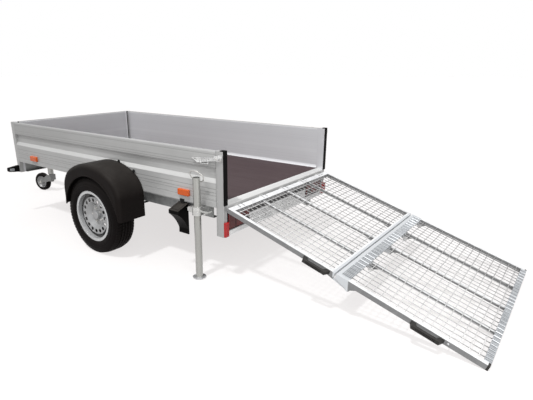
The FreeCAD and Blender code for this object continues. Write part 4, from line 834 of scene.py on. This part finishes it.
# Black sheets of painted shade stand in five gaps at each disc's edge.
gap_black = dark_material("gap_black", (0.008, 0.008, 0.008), (0.004, 0.004, 0.004), 0.7, 200.0,
                          0.0004)
gap_radii = (0.1428, 0.1464)
gap_face = 0.0572
gap_half_angle = 0.30
gap_depth = 0.006
gap_turn = math.radians(10)
for hand, side in (("left", 1), ("right", -1)):
    strip = arc_strip(gap_radii, side * gap_face, gap_half_angle, gap_depth)
    gaps = grown("disc_gaps_" + hand, strip, ring, Count=5, Material=gap_black)
    gaps.transform(Matrix.Translation((wheel_x, side * wheel_y, wheel_z))
                   @ Matrix.Rotation(side * gap_turn, 4, "Y"))
    new_piece("disc_gaps_" + hand, gaps, hand + "_wheel")

# JOCKEY WHEEL
# Telescopic support at the drawbar: a steel mast in a clamp, a swivelling fork,
# and a solid rubber tyre on a pressed rim. A bolt through the fork is the axle.

jockey_paint = board_material("jockey_paint", (0.34, 0.34, 0.34), (0.28, 0.28, 0.28),
                              (1.0, 1.0, 1.0), 0.4)
dress(jockey_paint, "jockey_rim")
smooth_zinc = zinc_material("smooth_zinc", (0.27, 0.272, 0.265), (0.19, 0.192, 0.188), 55.0, 0.32,
                            0.4)
dress(smooth_zinc, "jockey_fork", "jockey_clamp")
# Painted light also makes the stands' feet, within 12 mm of the floor, lighter.
drawn_tube = board_material("drawn_tube", (0.41, 0.41, 0.39), (0.355, 0.355, 0.337),
                            (1.0, 1.0, 0.03), 0.22, 0.6, inner=("Z", 0.012, 0.016))
dress(drawn_tube, "jockey_mast")
jockey_centre = Vector((2.0832, 0.1199, 0.1))
jockey_turn = math.radians(15)
jockey_side = Vector((-math.sin(jockey_turn), math.cos(jockey_turn), 0))
fork_half = 0.0392
fork_places = [(tuple(jockey_centre + jockey_side * (side * fork_half)), tuple(jockey_side * side))
               for side in (-1, 1)]
bolted("fork_nuts", "jockey_caster", plated, fork_places,
       (0.0095, 0.007), (0.0135, 0.002))

# PROP STANDS AND THEIR CLAMPS
# Steel tube dipped in zinc and drawn smooth, with a pressed foot. A split clamp
# with a wing bolt holds each one, and a wire ring through its head is its handle.

dress(drawn_tube, "stand_left", "stand_right")
cast_zinc = zinc_material("cast_zinc", (0.62, 0.62, 0.60), (0.44, 0.44, 0.43), 80.0, 0.28, 0.65)
dress(cast_zinc, "stand_clamps")


def wire_ring(name, points, radius, material, body):
    """Round wire that follows a smooth closed line."""
    curve = bpy.data.curves.new(name, "CURVE")
    curve.dimensions = "3D"
    curve.bevel_depth = radius
    curve.bevel_resolution = 3
    spline = curve.splines.new("NURBS")
    spline.points.add(len(points) - 1)
    for point, place in zip(spline.points, points):
        point.co = (*place, 1.0)
    spline.order_u = 4
    spline.use_cyclic_u = True
    holder = linked(name, curve)
    shown = holder.evaluated_get(bpy.context.evaluated_depsgraph_get())
    mesh = bpy.data.meshes.new_from_object(shown)
    bpy.data.objects.remove(holder)
    mesh.materials.clear()
    mesh.materials.append(material)
    for face in mesh.polygons:
        face.use_smooth = True
    return new_piece(name, mesh, body)


# The left ring stands up on the stand's head; the right one hangs and leans out.
ring_wide = 0.058
ring_tall = 0.040
ring_set_in = 0.004
ring_wire = 0.0032
ring_steps = 12
for hand, side, drop, lean in (("left", 1, -0.006, 0.021), ("right", -1, 0.054, 0.032)):
    low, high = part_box("stand_" + hand)
    centre = (low + high) / 2
    loop = []
    for index in range(ring_steps):
        angle = 2 * math.pi * index / ring_steps
        loop.append((centre.x + ring_wide * math.cos(angle),
                     centre.y + side * (lean * math.sin(angle) - ring_set_in),
                     high.z - drop + ring_tall * math.sin(angle)))
    wire_ring("stand_ring_" + hand, loop, ring_wire, plated, hand + "_stand")

# LATCHES AND HINGES
# Small pressed and plated steel pieces, brighter than the dipped ones. Domed
# rivets are the pivot of each latch's lever and hold the two ends of its plate.

bright_zinc = zinc_material("bright_zinc", (0.76, 0.76, 0.75), (0.60, 0.60, 0.60), 40.0, 0.28, 0.35)
dress(bright_zinc, "latches", "hinge_brackets")
latch_points = ((-1.0364, 0.7005, 0.822), (-1.0554, 0.6865, 0.8125), (-1.0174, 0.6865, 0.8125))
pivot_places = [((x, side * y, z), (0, side, 0)) for side in (-1, 1) for x, y, z in latch_points]
bolted("latch_rivets", "chassis", plated, pivot_places,
       (0.0035, 0.0016), (0.0062, 0.0012), 12)

# RAMP
# Two welded frames of square tube under a mesh of round steel wires, dipped
# after welding and still bright. Toothed plates give grip at the fold and end.

# Painted shade darkens the sides of the ramp's frames, teeth and wires; a grey band at the fold
# paints light into the gap.
ramp_zinc = zinc_material("ramp_zinc", (0.88, 0.885, 0.89), (0.78, 0.785, 0.79), 40.0, 0.36, 0.3,
                          0.74, fold=-1.888)
dress(ramp_zinc, "ramp_inner_frame", "ramp_outer_frame")
tooth_zinc = zinc_material("tooth_zinc", (0.24, 0.25, 0.262), (0.19, 0.20, 0.21), 40.0, 0.34, 0.3,
                           0.4, teeth=20.0)
dress(tooth_zinc, "tread_strips")
grip_mould = dark_material("grip_mould", (0.050, 0.048, 0.046), (0.030, 0.029, 0.028), 0.42,
                           500.0, 0.0006)
dress(grip_mould, "ramp_inner_grip", "ramp_outer_grip")
wire_zinc = zinc_material("wire_zinc", (0.64, 0.635, 0.63), (0.52, 0.515, 0.51), 90.0, 0.38, 0.15,
                          0.35)

# Repeats what it is given in even steps along a line.
line, line_in, line_out = geometry_tree(
    "repeat_in_line", [("Count", "NodeSocketInt"), ("Start", "NodeSocketVector"),
                       ("Step", "NodeSocketVector"), ("Material", "NodeSocketMaterial")])
line_points = put(line, "GeometryNodeMeshLine", mode="OFFSET", count_mode="TOTAL")
for given, wanted in (("Count", "Count"), ("Start", "Start Location"), ("Step", "Offset")):
    link(line_in.outputs[given], line_points.inputs[wanted])
line_copies = line.nodes.new("GeometryNodeInstanceOnPoints")
link(line_points.outputs[0], line_copies.inputs["Points"])
link(line_in.outputs["Geometry"], line_copies.inputs["Instance"])
close_tree(line, line_in, line_out, line_copies.outputs[0])

ramp_slope = math.radians(16.9349)
hinge_place = Vector((-1.103391, 0.0, 0.4906))
on_ramp = Matrix.Translation(hinge_place) @ Matrix.Rotation(-ramp_slope, 4, "Y")
wire_radius = 0.0025
wire_pitch = 0.048
mesh_half = 0.638
top_face = 0.015
cross_height = top_face - wire_radius
long_height = top_face - 0.0077


def one_wire(length, axis):
    """Round wire of eight sides along X or Y, centred on the origin."""
    shape = bmesh.new()
    sides = 8
    rows = []
    for along in (-length / 2, 0.0, length / 2):
        rows.append([])
        for side in range(sides):
            angle = 2 * math.pi * side / sides
            a, b = wire_radius * math.cos(angle), wire_radius * math.sin(angle)
            rows[-1].append(shape.verts.new((along, a, b) if axis == "X" else (a, along, b)))
    for one, two in zip(rows, rows[1:]):
        for side in range(sides):
            after = (side + 1) % sides
            shape.faces.new((one[side], one[after], two[after], two[side]))
    shape.faces.new(rows[0])
    shape.faces.new(rows[-1])
    bmesh.ops.recalc_face_normals(shape, faces=shape.faces[:])
    for face in shape.faces:
        face.smooth = len(face.verts) == 4
    return as_mesh("one_wire", shape)


def joined_meshes(name, meshes):
    """Several meshes as one."""
    shape = bmesh.new()
    for mesh in meshes:
        shape.from_mesh(mesh)
    whole = as_mesh(name, shape)
    for material in meshes[0].materials:
        whole.materials.append(material)
    return whole


# The mesh of each section, between two distances down the slope from the hinge.
for section, start, stop in (("inner", 0.028, 0.755), ("outer", 0.815, 1.610)):
    cross_count = int((stop - start) // wire_pitch)
    first = (start + stop - (cross_count - 1) * wire_pitch) / 2
    crossing = grown("cross_wires", one_wire(2 * mesh_half, "Y"), line, Count=cross_count,
                     Start=(-first, 0, cross_height), Step=(-wire_pitch, 0, 0), Material=wire_zinc)
    long_count = int(2 * mesh_half // wire_pitch)
    rightmost = -(long_count - 1) * wire_pitch / 2
    running = grown("long_wires", one_wire(stop - start, "X"), line, Count=long_count,
                    Start=(-(start + stop) / 2, rightmost, long_height), Step=(0, wire_pitch, 0),
                    Material=wire_zinc)
    wires = joined_meshes("ramp_wires_" + section, [crossing, running])
    wires.transform(on_ramp)
    piece = new_piece("ramp_wires_" + section, wires, "ramp_" + section)
    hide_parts("ramp_" + section + "_mesh")
dress(wire_zinc, "ramp_inner_mesh", "ramp_outer_mesh")

# Plated bushes on the fold pins, under the right rail and two of the bars.
fold_down_slope = 0.878
fold_depth = 0.035
bush_out = 0.0145
bush_places = []
for y in (-0.6500, -0.3190, 0.3190):
    for way in (-1, 1):
        middle = on_ramp @ Vector((-fold_down_slope, y + way * bush_out, -fold_depth))
        bush_places.append((tuple(middle), (0, way, 0)))
bolted("fold_bushes", "ramp_inner", bright_zinc, bush_places,
       (0.011, 0.006), (0.0165, 0.003), 16)

# Ribs along the outer face of each moulded grip.
rib_size = (0.0035, 0.0016, 0.0165)
rib_pitch = 0.008
rib_count = 13
grip_face = 0.7046
for section, start in (("inner", 0.615), ("outer", 1.279)):
    shape = bmesh.new()
    bmesh.ops.create_cube(shape, size=1.0, matrix=Matrix.Diagonal((*rib_size, 1.0)))
    ribs = grown("grip_ribs_" + section, as_mesh("grip_rib", shape), line, Count=rib_count,
                 Start=(-start, grip_face, 0.0), Step=(-rib_pitch, 0, 0), Material=black_mould)
    ribs.transform(on_ramp)
    new_piece("grip_ribs_" + section, ribs, "ramp_" + section)

# FLOOR OF THE STUDIO, LIGHT AND CAMERA
# White seamless floor under a bright ceiling, a soft sun high on the left side
# and a broad lamp behind the left rear corner, where the camera stands.

far = 60
floor_mesh = bpy.data.meshes.new("studio_floor")
floor_mesh.from_pydata([(-far, -far, 0), (far, -far, 0), (far, far, 0), (-far, far, 0)], [],
                       [(0, 1, 2, 3)])
studio_floor = linked("studio_floor", floor_mesh)
floor_material = bpy.data.materials.new("studio_white")
floor_material.use_nodes = True
floor_tree = floor_material.node_tree
floor_tree.nodes.clear()


def seen_rays(tree):
    """One where a camera, mirror or glass ray looks, else nothing."""
    paths = tree.nodes.new("ShaderNodeLightPath")
    mirror = sum_up(tree, "MAXIMUM", paths.outputs["Is Glossy Ray"],
                    paths.outputs["Is Transmission Ray"])
    return sum_up(tree, "MAXIMUM", paths.outputs["Is Camera Ray"], mirror)


def shown_as(tree, plain, white, out):
    """One shader for the light on the trailer and another for what is seen."""
    choose = tree.nodes.new("ShaderNodeMixShader")
    link(seen_rays(tree), choose.inputs["Fac"])
    link(plain.outputs[0], choose.inputs[1])
    link(white.outputs[0], choose.inputs[2])
    link(choose.outputs[0], out.inputs["Surface"])


floor_plain = put(floor_tree, "ShaderNodeBsdfDiffuse", _Color=(0.24, 0.24, 0.24, 1))
floor_white = put(floor_tree, "ShaderNodeBsdfDiffuse", _Color=(0.98, 0.98, 0.98, 1))
floor_glow = put(floor_tree, "ShaderNodeEmission", _Color=(1.0, 0.970, 0.963, 1), _Strength=1.0)
floor_seen = put(floor_tree, "ShaderNodeMixShader", _Fac=0.31)
link(floor_glow.outputs[0], floor_seen.inputs[1])
link(floor_white.outputs[0], floor_seen.inputs[2])
shown_as(floor_tree, floor_plain, floor_seen, floor_tree.nodes.new("ShaderNodeOutputMaterial"))
floor_mesh.materials.append(floor_material)

world = bpy.data.worlds.new("studio")
bpy.context.scene.world = world
world.use_nodes = True
world_tree = world.node_tree
world_tree.nodes.clear()
world_way = world_tree.nodes.new("ShaderNodeTexCoord").outputs["Generated"]
ceiling = spread(world_tree, axes_of(world_tree, world_way)["Z"], 0.0, 1.0, 0.22, 0.70)
sky = put(world_tree, "ShaderNodeBackground", _Color=(0.985, 0.99, 1.0, 1))
link(ceiling, sky.inputs["Strength"])
backdrop = put(world_tree, "ShaderNodeBackground", _Color=(1, 1, 1, 1), _Strength=1.0)
shown_as(world_tree, sky, backdrop, world_tree.nodes.new("ShaderNodeOutputWorld"))

sun_way = Vector((0.0, 0.46, 1.0))
sun_data = bpy.data.lights.new("key", "SUN")
sun_data.energy = 2.0
sun_data.angle = math.radians(5)
sun = linked("key", sun_data)
sun.rotation_euler = sun_way.to_track_quat("Z", "Y").to_euler()
fill_way = Vector((-3.8, 3.0, 1.4))
fill_data = bpy.data.lights.new("fill", "AREA")
fill_data.energy = 120.0
fill_data.size = 3.0
fill = linked("fill", fill_data)
fill.location = (-4.3, 3.3, 1.9)
fill.rotation_euler = fill_way.to_track_quat("Z", "Y").to_euler()

camera_place = (-2.8194, 2.788, 1.371)
camera_data = bpy.data.cameras.new("photo_view")
camera = linked("photo_view", camera_data)
azimuth, elevation = math.radians(217.031), math.radians(18.795)
back = Vector((math.sin(azimuth) * math.cos(elevation), -math.cos(azimuth) * math.cos(elevation),
               math.sin(elevation)))
right = Vector((math.cos(azimuth), math.sin(azimuth), 0))
turned = Matrix((right, back.cross(right), back)).transposed().to_4x4()
camera.matrix_world = Matrix.Translation(camera_place) @ turned
camera_data.sensor_width = 36.0
camera_data.lens = 30.53
camera_data.shift_x = 0.0439
camera_data.shift_y = 0.0352
bpy.context.scene.camera = camera
bpy.context.scene.view_settings.view_transform = "Standard"
